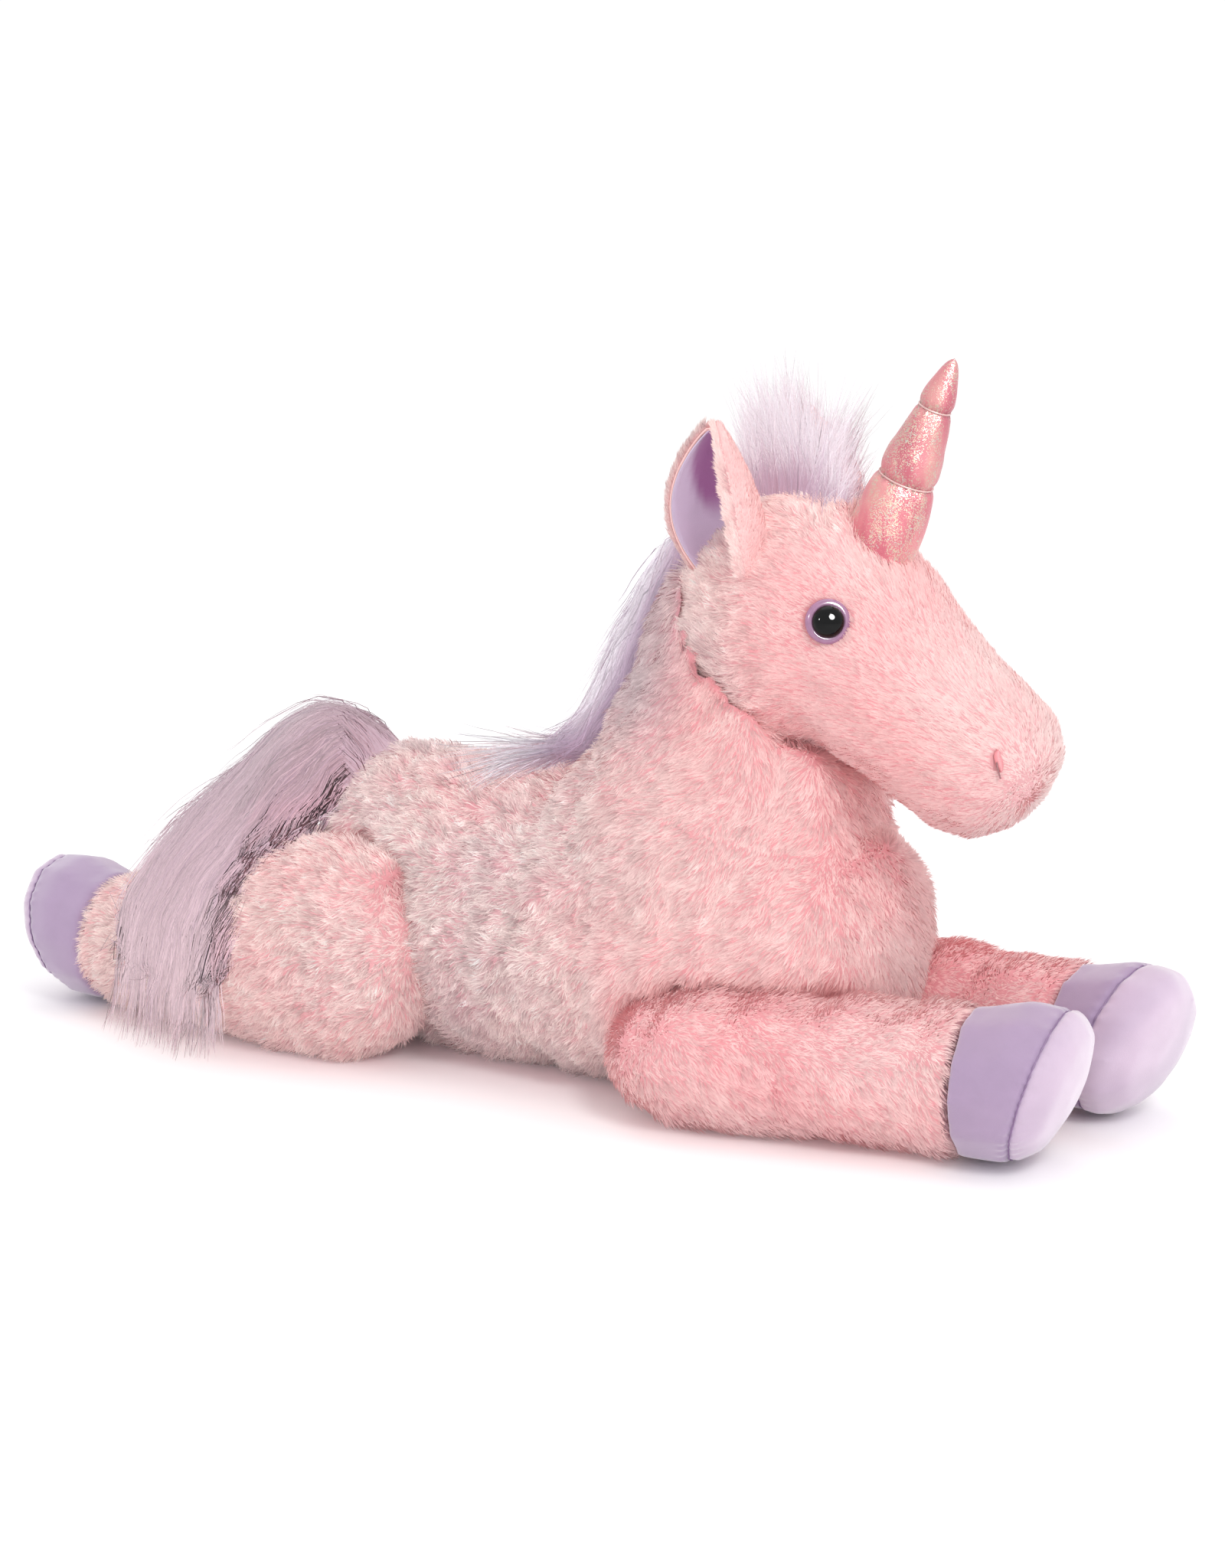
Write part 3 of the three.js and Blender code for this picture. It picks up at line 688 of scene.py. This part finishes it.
def make_skins():
    trunk = skin_from("body_skin", TRUNK_NODES, 5, 14, inward=2)
    head = skin_from("head_skin_soft", HEAD_NODES, 3, 9, inward=0.5)
    skins = {"trunk": trunk, "head": head}
    for leg in LEGS:
        skins[leg] = skin_from(f"leg_soft_{leg}", nodes_of(leg, LEG_NODES), 4, 8, inward=2)
    muzzle = points_of(head)
    muzzle[:, 0] += 5 * ramp(muzzle[:, 0], 205, 262)
    set_points(head, muzzle)
    rumpled(trunk, 51, (2.0, 70, (1, 1, 1)), (2.2, 30, (1, 0.3, 0.3)))
    rumpled(head, 61, (0.7, 45, (1, 1, 1)))
    for leg in LEGS:
        rumpled(skins[leg], 71, (1.4, 50, (1, 1, 1)), (0.8, 24, (1, 0.4, 0.4)))
    for skin in skins.values():
        pressed(skin)
    return skins


skins = make_skins()
trees = {name: tree_of(skin) for name, skin in skins.items()}


def clear_of(at, names, reach):
    return ~np.any([near(at, trees[name], reach) for name in names], axis=0)


def declare(piece, material, body, nodes=()):
    """Gives the piece its material, hangs it on the empty of the body it rides on (trunk pieces stay in the
    world) and hides the CAD nodes it stands for.
    """
    dress(piece, material)
    if body == "trunk":
        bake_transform(piece)
    else:
        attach(piece, body)
    if nodes:
        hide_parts(*nodes)


DENSITY = 0.75  # tufts for each square millimetre


def grow(name, skin, rng, comb, length, body, keep, tones_at, rough, density=1.0, width=0.7, lift=0.55,
         weight=None, parts=1, cell=6.0):
    """Short pile over a skin, as one piece or more, with the skin below in the tone of the pile's roots."""
    # The skin below takes the pile's darker root tone, the painted shade between the strands.
    paint(skin, tones_at(points_of(skin))[0])
    at, normal = scatter(skin, DENSITY * density, rng, weight)
    chosen = keep(at, normal)
    at, normal = at[chosen], normal[chosen]
    order = np.argsort(at[:, 0], kind="stable")
    for part, rows in enumerate(np.array_split(order, parts)):
        p, n = at[rows], normal[rows]
        title = name if parts == 1 else f"{name}_{part + 1}"
        piece = pile(title, p, n, comb(p), length(p), width, lift, tones_at(p), rng, cell, 0.4, rough(p))
        declare(piece, PILE, body)


def no_underside(middle):
    return np.where(middle[:, 2] < 3, 0.12, 1.0)


def trunk_comb(p):
    x, _, z = p.T
    flow = np.stack([np.full(len(p), -1.0), 0 * x, -0.75 - 0.25 * np.sin(x / 60)], 1)
    neck = ramp(z, 170, 230)[:, None]
    return flow * (1 - neck) + np.array([-0.35, 0, -1]) * neck


def head_comb(p):
    return unit(p - MUZZLE_TIP) + [-0.25, 0, -0.15]


def leg_comb(p):
    """Along the leg towards its hoof, and down."""
    x = p[:, 0]
    return np.stack([np.sign(x), 0 * x, np.where(x > 0, -0.45, -0.5)], 1)


def leg_length(p):
    return 7.6 + 1.0 * waves(p, 40, 32)


def leg_rough(p):
    return np.where(p[:, 0] > 0, 0.5, 0.8)


def body_length(p):
    """The pile is parted along the seam at the foot of the neck, and long where the head touches it."""
    seam = bell(p[:, 2] + 0.3 * (p[:, 0] - 66) - 178, 3.0)
    return (8.0 + 1.2 * waves(p, 50, 31)) * (1 - 0.55 * seam) + 3.0 * near(p, trees["head"], 7)


def body_rough(p):
    """The chest is smooth and the barrel ruffled."""
    return 1.1 - 0.6 * ramp(p[:, 0], -20, 100)


def head_length(p):
    """The pile is short round the eyes and long on the cheeks, the poll and round the horn."""
    x, _, z = p.T
    eye = np.minimum(size_of(p - EYE), size_of(p * [1, -1, 1] - EYE))
    horn = bell(size_of(p - HORN_ROOT - [2, 0, -4]), 30)
    length = 3.8 + 1.4 * ramp(eye, 12, 40) + 3.4 * ramp(-x, -140, -95) + 1.5 * ramp(z, 318, 336)
    return length + 4.5 * horn + 3.5 * near(p, trees["trunk"], 7)


def head_rough(p):
    """The pile is smooth over the face and ruffled on the cheeks, the poll and under the jaw."""
    x, _, z = p.T
    ruffled = ramp(-x, -158, -110) + 0.8 * ramp(-face_slope(p), -262, -225) + ramp(z, 316, 336)
    return 0.28 + 0.6 * np.clip(ruffled, 0, 1)


def head_keep(p, n):
    """Leaves the horn's foot, the eyes and the nostrils bare."""
    up = (p - HORN_ROOT) @ HORN_UP
    away = size_of(p - HORN_ROOT - up[:, None] * HORN_UP)
    keep = (away > 19.5) | (up < -12)
    for q in (p, p * [1, -1, 1]):
        keep &= size_of(q - EYE) > 12.4
        keep &= size_of((q - NOSTRIL) / [3.2, 3.2, 6.5]) > 1
    return keep & clear_of(p, ["trunk"], 0.5)


rng = np.random.default_rng(11)
grow("body_pile", skins["trunk"], rng, trunk_comb, body_length, "trunk",
     lambda p, n: clear_of(p, ["head", *LEGS], 1.0), body_tones, body_rough, weight=no_underside, parts=4)
declare(skins["trunk"], BACKING, "trunk", TRUNK_NODES)
grow("head_pile", skins["head"], rng, head_comb, head_length, "head", head_keep, head_tones, head_rough,
     density=1.4, width=0.65, lift=0.45, parts=3, cell=5.0)
declare(skins["head"], BACKING, "head", HEAD_NODES)
for leg in LEGS:
    grow(f"leg_pile_{leg}", skins[leg], rng, leg_comb, leg_length, f"leg_{leg}",
         lambda p, n: clear_of(p, ["trunk"], 1.0), leg_tones, leg_rough, weight=no_underside)
    declare(skins[leg], BACKING, f"leg_{leg}", nodes_of(leg, LEG_NODES))


# ---------------- hooves
def seam_height(co, end):
    """How far each point lies past the sole's seam, which leans forward."""
    at, run = np.array(HOOF_END[end][0], float), np.array([*HOOF_END[end][1], 0])
    return (co - at) @ run - HOOF_BAND - HOOF_SLANT * (co[:, 2] - at[2])


def seam_loop(hoof, end, sign):
    """The line where the seam runs round the hoof, and the way out of the hoof at each point."""
    tree = tree_of(hoof)
    run = np.array([*HOOF_END[end][1], 0]) * [1, sign, 1]
    aside = np.array([-run[1], run[0], 0])
    up = unit(UP + run * HOOF_SLANT)
    middle = np.array(HOOF_END[end][0], float) * [1, sign, 1] + run * HOOF_BAND
    line, outward = [], []
    for a in round_angles(150):
        way = math.cos(a) * aside + math.sin(a) * up
        at, _, _, _ = tree.ray_cast(Vector((middle + way * 120) * MM), Vector(-way))
        line.append(np.array(at) / MM)
        outward.append(way)
    return np.array(line), np.array(outward)


def stitched_line(name, line, outward, thick=0.4):
    """A closed line of thread lying on the cloth, that dips under it between stitches."""
    around = 6
    along = unit(np.roll(line, -1, axis=0) - np.roll(line, 1, axis=0))
    third = np.cross(along, outward)
    lift = 0.25 + 0.35 * np.cos(np.arange(len(line)) * math.tau / 3)
    rows = [line + outward * (lift + thick * math.cos(a))[:, None] + third * thick * math.sin(a)
            for a in round_angles(around)]
    return new_piece(name, np.stack(rows, 1).reshape(-1, 3), tube_faces(len(line), around, closed=True))


def make_hoof(leg):
    end, side = leg.split("_")
    sign = SIDES[side]

    def past_seam(co):
        return seam_height(co * [1, sign, 1], end)

    nodes = nodes_of(leg, HOOF_NODES)
    hoof = skin_from(f"hoof_cover_{leg}", nodes, 3, 7, inward=0.6)
    open_end = past_seam(points_of(hoof)).min()
    puff(hoof, 3.0, 4, lambda co: 1 - ramp(past_seam(co) - open_end, 3, 14))
    hoof.modifiers.new("fine", "SUBSURF").levels = 1
    applied(hoof)
    co = points_of(hoof)
    past = past_seam(co)
    around = np.arctan2(co[:, 2] - 42, co[:, 1] - co[:, 1].mean())
    pucker = 0.35 * np.sin(around * 31 + 2 * np.sin(around * 5)) * bell(np.abs(past) - 3, 3)
    swell = 0.9 * bell(past - 9, 8) * (past > 0)
    crease = 1.5 * bell(past, 1.7) - swell + pucker
    set_points(hoof, co - normals_of(hoof) * crease[:, None])
    pressed(hoof)
    co = points_of(hoof)
    shadow = 0.25 + 0.3 * waves(co, 55, 41) + 0.2 * ramp(-co[:, 2], -50, -5)
    base = mix(mix(VELOUR, CREAM, 0.12), mix(VELOUR_MID, VELOUR_DARK, 0.2), ramp(-past, -1, 1))
    tint = mix(base, VELOUR_MID, np.clip(shadow, 0, 1) * 0.7)
    paint(hoof, mix(tint, VELOUR_DARK, 0.6 * bell(past, 1.3)))
    declare(hoof, VELOUR_CLOTH, f"leg_{leg}", nodes)
    thread = stitched_line(f"hoof_seam_{leg}", *seam_loop(hoof, end, sign))
    declare(thread, SEAM_THREAD, f"leg_{leg}")


for leg in LEGS:
    make_hoof(leg)


# ---------------- horn
def turned(name, outline, sides, at, along, ripple=None):
    """A surface of revolution through (radius, height) points, standing at a place along a direction."""
    aside = unit(np.cross(along, [0.0, 1, 0] if abs(along[1]) < 0.9 else [1.0, 0, 0]))
    third = np.cross(along, aside)
    angle = round_angles(sides)
    rows = []
    for radius, height in outline:
        centre = at + height * along
        r = radius * (1 + ripple(angle, height)) if ripple else np.full(sides, float(radius))
        rows.append(centre + np.outer(r * np.cos(angle), aside) + np.outer(r * np.sin(angle), third))
    return new_piece(name, np.vstack(rows), tube_faces(len(rows), sides))


def near_rings(height, reach):
    return sum(bell(height - at, reach) for at, _ in HORN_RINGS.values())


def gathers(angle, height):
    folds = np.cos(angle * 13 + height * 0.05) * 0.6 + np.cos(angle * 19 + 1.7) * 0.4
    dents = 0.010 * np.sin(angle * 3 + height * 0.13) + 0.007 * np.sin(angle * 5 - height * 0.21)
    return 0.04 * near_rings(height, 4.5) * folds + dents


def make_horn():
    fine = spline([(r, h, 0) for r, h in HORN_OUTLINE], 110)[:, :2]
    fine[:, 0] = np.maximum(fine[:, 0], 0.15)
    horn = turned("horn_soft", fine, 72, HORN_ROOT, HORN_UP, gathers)
    co = points_of(horn) - HORN_ROOT
    height = co @ HORN_UP
    angle = np.arctan2(co[:, 1], co @ [math.cos(HORN_LEAN), 0, -math.sin(HORN_LEAN)])
    # Painted shade: the cloth is darker in dimples round the rings, where it is gathered, and lighter towards
    # the horn's foot.
    ring_dimple_shade = near_rings(height, 1.6) * (0.55 + 0.45 * np.cos(angle * 24))
    painted_shading = (1 - 0.45 * ring_dimple_shade) * (0.76 + 0.12 * ramp(-height, -70, -10))
    paint(horn, painted_shading[:, None] * [1, 0.97, 0.98])
    declare(horn, LAME, "head", ("horn_cover", "horn_stuffing"))
    for name, (height, radius) in HORN_RINGS.items():
        cord = twisted_ring(f"horn_cord_{name}", height, radius)
        declare(cord, CORD, "head", (f"horn_ring_{name}",))


def twisted_ring(name, height, radius):
    """A ring of two-ply cord round the horn."""
    cord, sides, around, turns = 0.5, 120, 8, 30
    aside = unit(np.cross(HORN_UP, [0.0, 1, 0]))
    third = np.cross(HORN_UP, aside)
    section = round_angles(around)
    rows = []
    for a in round_angles(sides):
        out = math.cos(a) * aside + math.sin(a) * third
        r = cord * (0.85 + 0.3 * np.abs(np.cos(section + a * turns / 2)))
        centre = HORN_ROOT + out * radius + HORN_UP * height
        rows.append(centre + np.outer(r * np.cos(section), out) + np.outer(r * np.sin(section), HORN_UP))
    return new_piece(name, np.vstack(rows), tube_faces(sides, around, closed=True))


make_horn()


# ---------------- eyes and nostrils
def make_eyes():
    rim_outline = [(0.2, -1.5), (11.9, -1.5), (12.3, -0.2), (12.3, 0.8), (11.9, 1.9), (11, 2.7), (10, 3.1),
                   (9.2, 3.1), (8.7, 2.8), (0.2, 2.7)]
    dome = [(8.8 * math.cos(a), 3.0 + 6.2 * math.sin(a)) for a in np.linspace(0, math.pi / 2 * 0.995, 16)]
    for side, sign in SIDES.items():
        at, out = EYE * [1, sign, 1], EYE_OUT * [1, sign, 1]
        rim = turned(f"eye_rim_{side}", rim_outline, 64, at, out)
        ball = turned(f"eye_ball_{side}", [(4, -18), (4, 2.9), (8.7, 2.95)] + dome, 64, at, out)
        declare(rim, EYE_RIM, "head", (f"eye_ring_{side}",))
        declare(ball, EYE_BLACK, "head", (f"eye_dome_{side}",))
        dress(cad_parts[f"eye_washer_{side}"], WASHER)


def make_nostrils():
    """A short slit of satin stitches laid side by side, with a darker stitch below it."""
    stitch = 0.45
    slope = np.array([0.25, 0, -1])
    for side, sign in SIDES.items():
        at, normal, _, _ = trees["head"].find_nearest(Vector(NOSTRIL * [1, sign, 1] * MM))
        at, normal = np.array(at) / MM, np.array(normal)
        down = unit(slope - normal * slope @ normal)
        across = np.cross(normal, down)
        co, faces = [], []
        for t in np.linspace(-1, 1, 19):
            half = 2.2 * math.sqrt(max(0.04, 1 - t * t * 0.95))
            middle = at + down * t * 5.6 + across * 0.8 * math.sin(t * 2)
            faces += [[len(co) + corner for corner in face] for face in tube_faces(7, 6)]
            for s in np.linspace(-1, 1, 7):
                lift = 1.6 * (1 - s * s) ** 0.5 + 1.2
                co += [middle + down * math.cos(a) * stitch + across * half * s
                       + normal * (lift + math.sin(a) * stitch) for a in round_angles(6)]
        stitches = new_piece(f"nostril_satin_{side}", co, faces)
        declare(stitches, THREAD, "head", (f"nostril_stitch_{side}",))
        line = np.array([at + down * (t * 8.5) - across * (1.9 * math.cos(t * 1.5) * sign) + normal * 2.2
                         for t in np.linspace(0.1, 1.1, 18)])
        loop = np.concatenate([line, line[::-1] + across * 0.3 * sign])
        slit = stitched_line(f"nostril_slit_{side}", loop, np.tile(normal, (len(loop), 1)), thick=0.35)
        declare(slit, NOSTRIL_THREAD, "head")


make_eyes()
make_nostrils()


# ---------------- ears
def leaf(u, v, inset, sign):
    """A point of the ear: a leaf folded along its middle line, open outwards and back."""
    size = np.sin(math.pi * (0.25 + 0.72 * v)) ** 0.8
    angle = (u - 0.5) * 2 * EAR_ROLL
    at = EAR_FOLD + np.array([-14, -19, 0]) * (v * v)[..., None]
    at = at + UP * (inset + v * (EAR_HEIGHT - 2 * inset))[..., None]
    at = at + EAR_OPENING * (inset + (EAR_DEPTH * size - inset) * (1 - np.cos(angle)))[..., None]
    at = at + EAR_ASIDE * ((EAR_HALF_WIDTH * size - inset) * np.sin(angle))[..., None]
    return at * [1, sign, 1]


def ear_sheet(name, inset, sign, thickness=0.8, across=28, along=30):
    """A closed thin sheet over the leaf, with its places across and along for one of its two sides."""
    u, v = (grid.ravel() for grid in np.meshgrid(np.linspace(0, 1, across), np.linspace(0, 1, along)))
    co = leaf(u, v, inset, sign).reshape(along, across, 3)
    half = unit(np.cross(np.gradient(co, axis=1), np.gradient(co, axis=0))) * thickness / 2
    both = np.concatenate([(co + half).reshape(-1, 3), (co - half).reshape(-1, 3)])
    back = across * along
    faces = []
    for j in range(along - 1):
        for i in range(across - 1):
            a = j * across + i
            faces.append((a, a + 1, a + 1 + across, a + across))
            faces.append((back + a, back + a + across, back + a + across + 1, back + a + 1))
    ring = list(range(across)) + [j * across + across - 1 for j in range(1, along)]
    ring += [(along - 1) * across + i for i in range(across - 2, -1, -1)]
    ring += [j * across for j in range(along - 2, 0, -1)]
    faces += [(b, a, back + a, back + b) for a, b in zip(ring, ring[1:] + ring[:1])]
    return new_piece(name, both, faces), u, v


def ear_pile(side, sign, rng, count=18000):
    """Short fibres over the back of the ear, longer and paler along its rim."""
    def back(u, v):
        return leaf(u, v, 0.3, sign)

    u, v = rng.random(count), rng.random(count) ** 0.9
    edge = rng.random(count) < 0.3
    first = rng.random(edge.sum()) < 0.5
    u[edge] = np.where(first, rng.uniform(0, 0.04, edge.sum()), rng.uniform(0.96, 1, edge.sum()))
    at = back(u, v)
    e = 1e-3
    along = back(u, np.minimum(v + e, 1)) - back(u, np.maximum(v - e, 0))
    wide = back(np.minimum(u + e, 1), v) - back(np.maximum(u - e, 0), v)
    out = unit(np.cross(wide, along))
    middle = back(np.full(count, 0.5), v) + EAR_OPENING * [1, sign, 1] * 20
    out *= np.sign(((at - middle) * out).sum(1))[:, None]
    rim = np.abs(u - 0.5) > 0.45
    over_rim = unit(wide) * np.sign(u - 0.5)[:, None] * rim[:, None]
    outer = ramp(-u, -0.3, -0.1)
    tone = tones(0.8 - 0.25 * rim - 0.3 * outer, 0.15 + 0.35 * rim + 0.4 * outer, np.zeros(count))
    return pile(f"ear_pile_{side}", at + out * 1.2, unit(out + over_rim * 0.8), unit(along) + over_rim * 0.6,
                np.where(rim, 6.5, 4.2), 0.6, 0.4, tone, rng, 5, 0.3, 0.4 + 0.2 * rim)


def make_ears(rng):
    for side, sign in SIDES.items():
        body = f"ear_{side}"
        lining, u, v = ear_sheet(f"ear_velour_{side}", 1.8, sign)
        tint = mix(VELOUR, EAR_FOLD_SHADE, ramp(u + 0.35 * (v - 0.6), 0.11, 0.19) * ramp(v, 0.3, 0.55))
        paint(lining, np.concatenate([tint, tint]))
        declare(lining, VELOUR_CLOTH, body, (f"ear_lining_{side}",))
        back, _, _ = ear_sheet(f"ear_plush_{side}", 0.5, sign)
        paint(back, mix(ROSE, CREAM, 0.35))
        declare(back, BACKING, body, (f"ear_back_{side}",))
        declare(ear_pile(side, sign, rng), PILE, body)


make_ears(rng)


# ---------------- tail, mane and forelock
def streaks(lines, rng, share):
    """Some strands are darker than the rest."""
    dark = (rng.random(len(lines)) < share) * rng.uniform(0.4, 1, len(lines)) * 0.5
    return dark[:, None] * np.ones(lines.shape[:2])


def tail_tone(lines, outward, rng):
    """Pale lilac along the outer edge, pinker where it lies against the rump (painted so that the shade there
    reads pink rather than grey), and darker at the top with painted shade where it meets the rump.
    """
    out_x, out_y, out_z = np.moveaxis(outward, -1, 0)
    edge = ramp(-out_x + 0.7 * out_z + 0.5 * out_y, 0.1, 1.0)
    inner = ramp(out_x, 0.3, 1.0)
    low = ramp(-lines[..., 2], -125, -35)
    # Painted light: the side against the rump is painted rosier, so that its shade reads pink rather than
    # grey.
    base = mix(mix(TAIL_MAUVE, lin(218, 170, 184), inner), LILAC_PALE, edge * (0.15 + 0.35 * low))
    base = mix(base, lin(232, 204, 210), 0.6 * low * (1 - 0.5 * inner))
    # Painted shade at the top, where the tail meets the rump.
    base = base * (1 - 0.14 * ramp(lines[..., 2], 110, 165))[..., None]
    return mix(base, LILAC_DARK, streaks(lines, rng, 0.16))


def mane_tone(lines, outward, rng):
    """Dark mauve beside the neck, nearly white along the outer edge and over the back."""
    nape = spline(MANE_LINE, 80)
    row = np.argmin(((lines.reshape(-1, 1, 3) - nape) ** 2).sum(2), 1)
    out = nape[row, 0].reshape(lines.shape[:2]) - lines[..., 0]
    pale = np.maximum(ramp(out, -7, 11), ramp(-lines[..., 0], 20, 60))
    return mix(mix(mix(LILAC_DARK, LILAC, 0.25), LILAC_PALE, pale), LILAC_DARK, streaks(lines, rng, 0.24))


def forelock_tone(lines, t, rng):
    base = mix(lin(188, 160, 180), lin(240, 230, 238), np.tile(ramp(t, 0.15, 0.85), (len(lines), 1)))
    return base * rng.normal(1, 0.04, (len(lines), 1, 1))


def core_from(name, node, voxel, inward, colour, body, swell=None):
    """The dense middle of a bundle of long pile, so that nothing shows through it."""
    core = skin_from(name, [node], voxel, 10, inward)
    if swell is not None:
        co = points_of(core)
        set_points(core, co + swell(co, normals_of(core)))
    pressed(core)
    paint(core, colour)
    declare(core, HAIR, body)
    return core


def tuft(name, roots, heights, rng, count, spread, tone, width, locks):
    """Loose upright hair along a line of roots. heights is how tall it stands at places along the line."""
    path = spline(roots, 100)
    along = rng.random(count)
    lock_at = np.sort(rng.random(locks))
    lock = np.argmin(np.abs(along[:, None] - lock_at[None]) + rng.random((count, locks)) * 0.05, 1)
    tall = np.interp(along, np.linspace(0, 1, len(heights)), heights)
    tall = (tall * rng.uniform(0.45, 1.0, count) * rng.uniform(0.78, 1.12, locks)[lock])[:, None]
    scattered = np.stack([rng.normal(0, 2, count), rng.normal(0, spread, count), np.zeros(count)], 1)
    root = path[(along * 99).astype(int)] + scattered
    t = np.linspace(0, 1, 6)[None, :, None]
    lean = rng.normal(0, 0.22, (locks, 3))[lock] + rng.normal(0, 0.16, (count, 3))
    lean[:, 0] += (along - 0.6) * 0.3
    heart = path[(lock_at * 99).astype(int)][lock] + UP * tall + lean * 30
    straight = root[:, None] + UP * tall[:, None] * t + (lean * tall)[:, None] * t**1.6
    lines = straight * (1 - 0.35 * t**2) + heart[:, None] * 0.35 * t**2
    aside = np.sign(root[:, 1] + rng.normal(0, 3, count))
    facing = unit(np.stack([lean[:, 0] * 0.5, aside, np.full(count, 0.35)], 1))
    flat = unit(np.cross(unit(lines[:, -1] - lines[:, 0]), facing) + rng.normal(0, 0.4, (count, 3)))
    shade = unit(facing + rng.normal(0, 0.2, (count, 3)))
    wide = width * rng.uniform(0.6, 1.3, count)
    return strand_mesh(name, lines, flat, wide, shade, np.clip(tone(lines, t[0, :, 0], rng), 0, 1))


def tail_swell(co, normal):
    """The tail's middle narrows and runs up to the rump, and leans against it on its way down."""
    x, _, z = co.T
    root = ramp(x, -196, -170)
    against = ramp(normal[:, 0], 0.1, 0.8) * ramp(z, 80, 120) * (1 - root)
    narrow = (np.array([-172.0, 0, 164]) - co) * 0.5 * root[:, None]
    wide = 0.22 * (x + 221) * ramp(-z, -115, -75)
    return narrow * [0, 1, 1] + np.stack([18 * root + 7 * against + wide, 0 * root, -3 * root], 1)


def tail_shown(at, normal):
    """The tail's far side is out of sight low down."""
    return (normal[:, 1] < 0.5) | (at[:, 2] > 150)


def make_hair(rng):
    middle = mix(TAIL_MAUVE, LILAC_DARK, 0.2)
    tail_core = core_from("tail_core_pile", "tail_pile", 4, 5, middle, "tail", tail_swell)
    tail = combed("tail_hair", tail_core, TAIL_LINE, 0.2, 12, 5.5, rng, 0.75, tail_tone, beyond=0.35,
                  shown=tail_shown)
    declare(tail, HAIR, "tail", ("tail_pile",))
    mane_core = core_from("mane_core_pile", "mane_pile", 3, 3, mix(LILAC, LILAC_DARK, 0.4), "neck")
    mane = combed("mane_hair", mane_core, MANE_LINE, 0.3, 9, 5.5, rng, 0.8, mane_tone, splay=0.3, sag=0.05)
    declare(mane, HAIR, "neck", ("mane_pile",))
    forelock = tuft("forelock_hair", [(97, 0, 340), (117, 0, 346), (137, 0, 345), (154, 0, 335)],
                    [38, 60, 70, 66, 56, 46, 48, 34], rng, 6500, 8, forelock_tone, 0.55, 40)
    declare(forelock, HAIR, "head", ("forelock_pile",))
    stub = skin_from("tail_core", ["tail_root"], 2, 4)
    paint(stub, ROSE)
    declare(stub, BACKING, "tail", ("tail_root",))


make_hair(rng)


# ---------------- floor, light and camera
AIM = Vector((0, 0, 0.165))
AZIMUTH, ELEVATION, DISTANCE = math.radians(33), math.radians(12), 1.701


def make_floor():
    bpy.ops.mesh.primitive_plane_add(size=12, location=(0, 0, -0.0005))
    floor = bpy.context.object
    floor.name = "floor"
    material, _, shader = new_material("pale_floor", 0.9)
    shader.inputs["Base Color"].default_value = (0.97, 0.97, 0.97, 1)
    dress(floor, material)


def make_light(name, place, size, power, glossy_only=False):
    lamp = placed(name, set_values(bpy.data.lights.new(name, "AREA"), shape="DISK", size=size, energy=power))
    lamp.location = place
    lamp.visible_diffuse = not glossy_only
    lamp.rotation_euler = (AIM - Vector(place)).to_track_quat("-Z", "Y").to_euler()


def make_world():
    world = bpy.data.worlds.new("studio")
    SCENE.world = world
    world.use_nodes = True
    background = world.node_tree.nodes["Background"]
    background.inputs["Color"].default_value = (1, 1, 1, 1)
    background.inputs["Strength"].default_value = 1.05
    SCENE.view_settings.view_transform = "Standard"


def make_camera():
    camera = set_values(bpy.data.cameras.new("camera"), lens=65.7422, sensor_width=36)
    shooter = placed("camera", camera)
    level = math.cos(ELEVATION)
    away = Vector((math.sin(AZIMUTH) * level, -math.cos(AZIMUTH) * level, math.sin(ELEVATION)))
    shooter.location = AIM + away * DISTANCE
    shooter.rotation_euler = (-away).to_track_quat("-Z", "Y").to_euler()
    SCENE.camera = shooter


make_floor()
make_world()
make_light("key", (1.51, -0.95, 1.8), 0.6, 12)
make_light("top", (-0.3, 0.4, 2.2), 1.8, 7)
make_light("catchlight", (1.66, -1.0, 1.32), 1.05, 190, glossy_only=True)
make_light("small_catchlight", (-0.55, -2.2, 0.95), 0.3, 12, glossy_only=True)
make_camera()
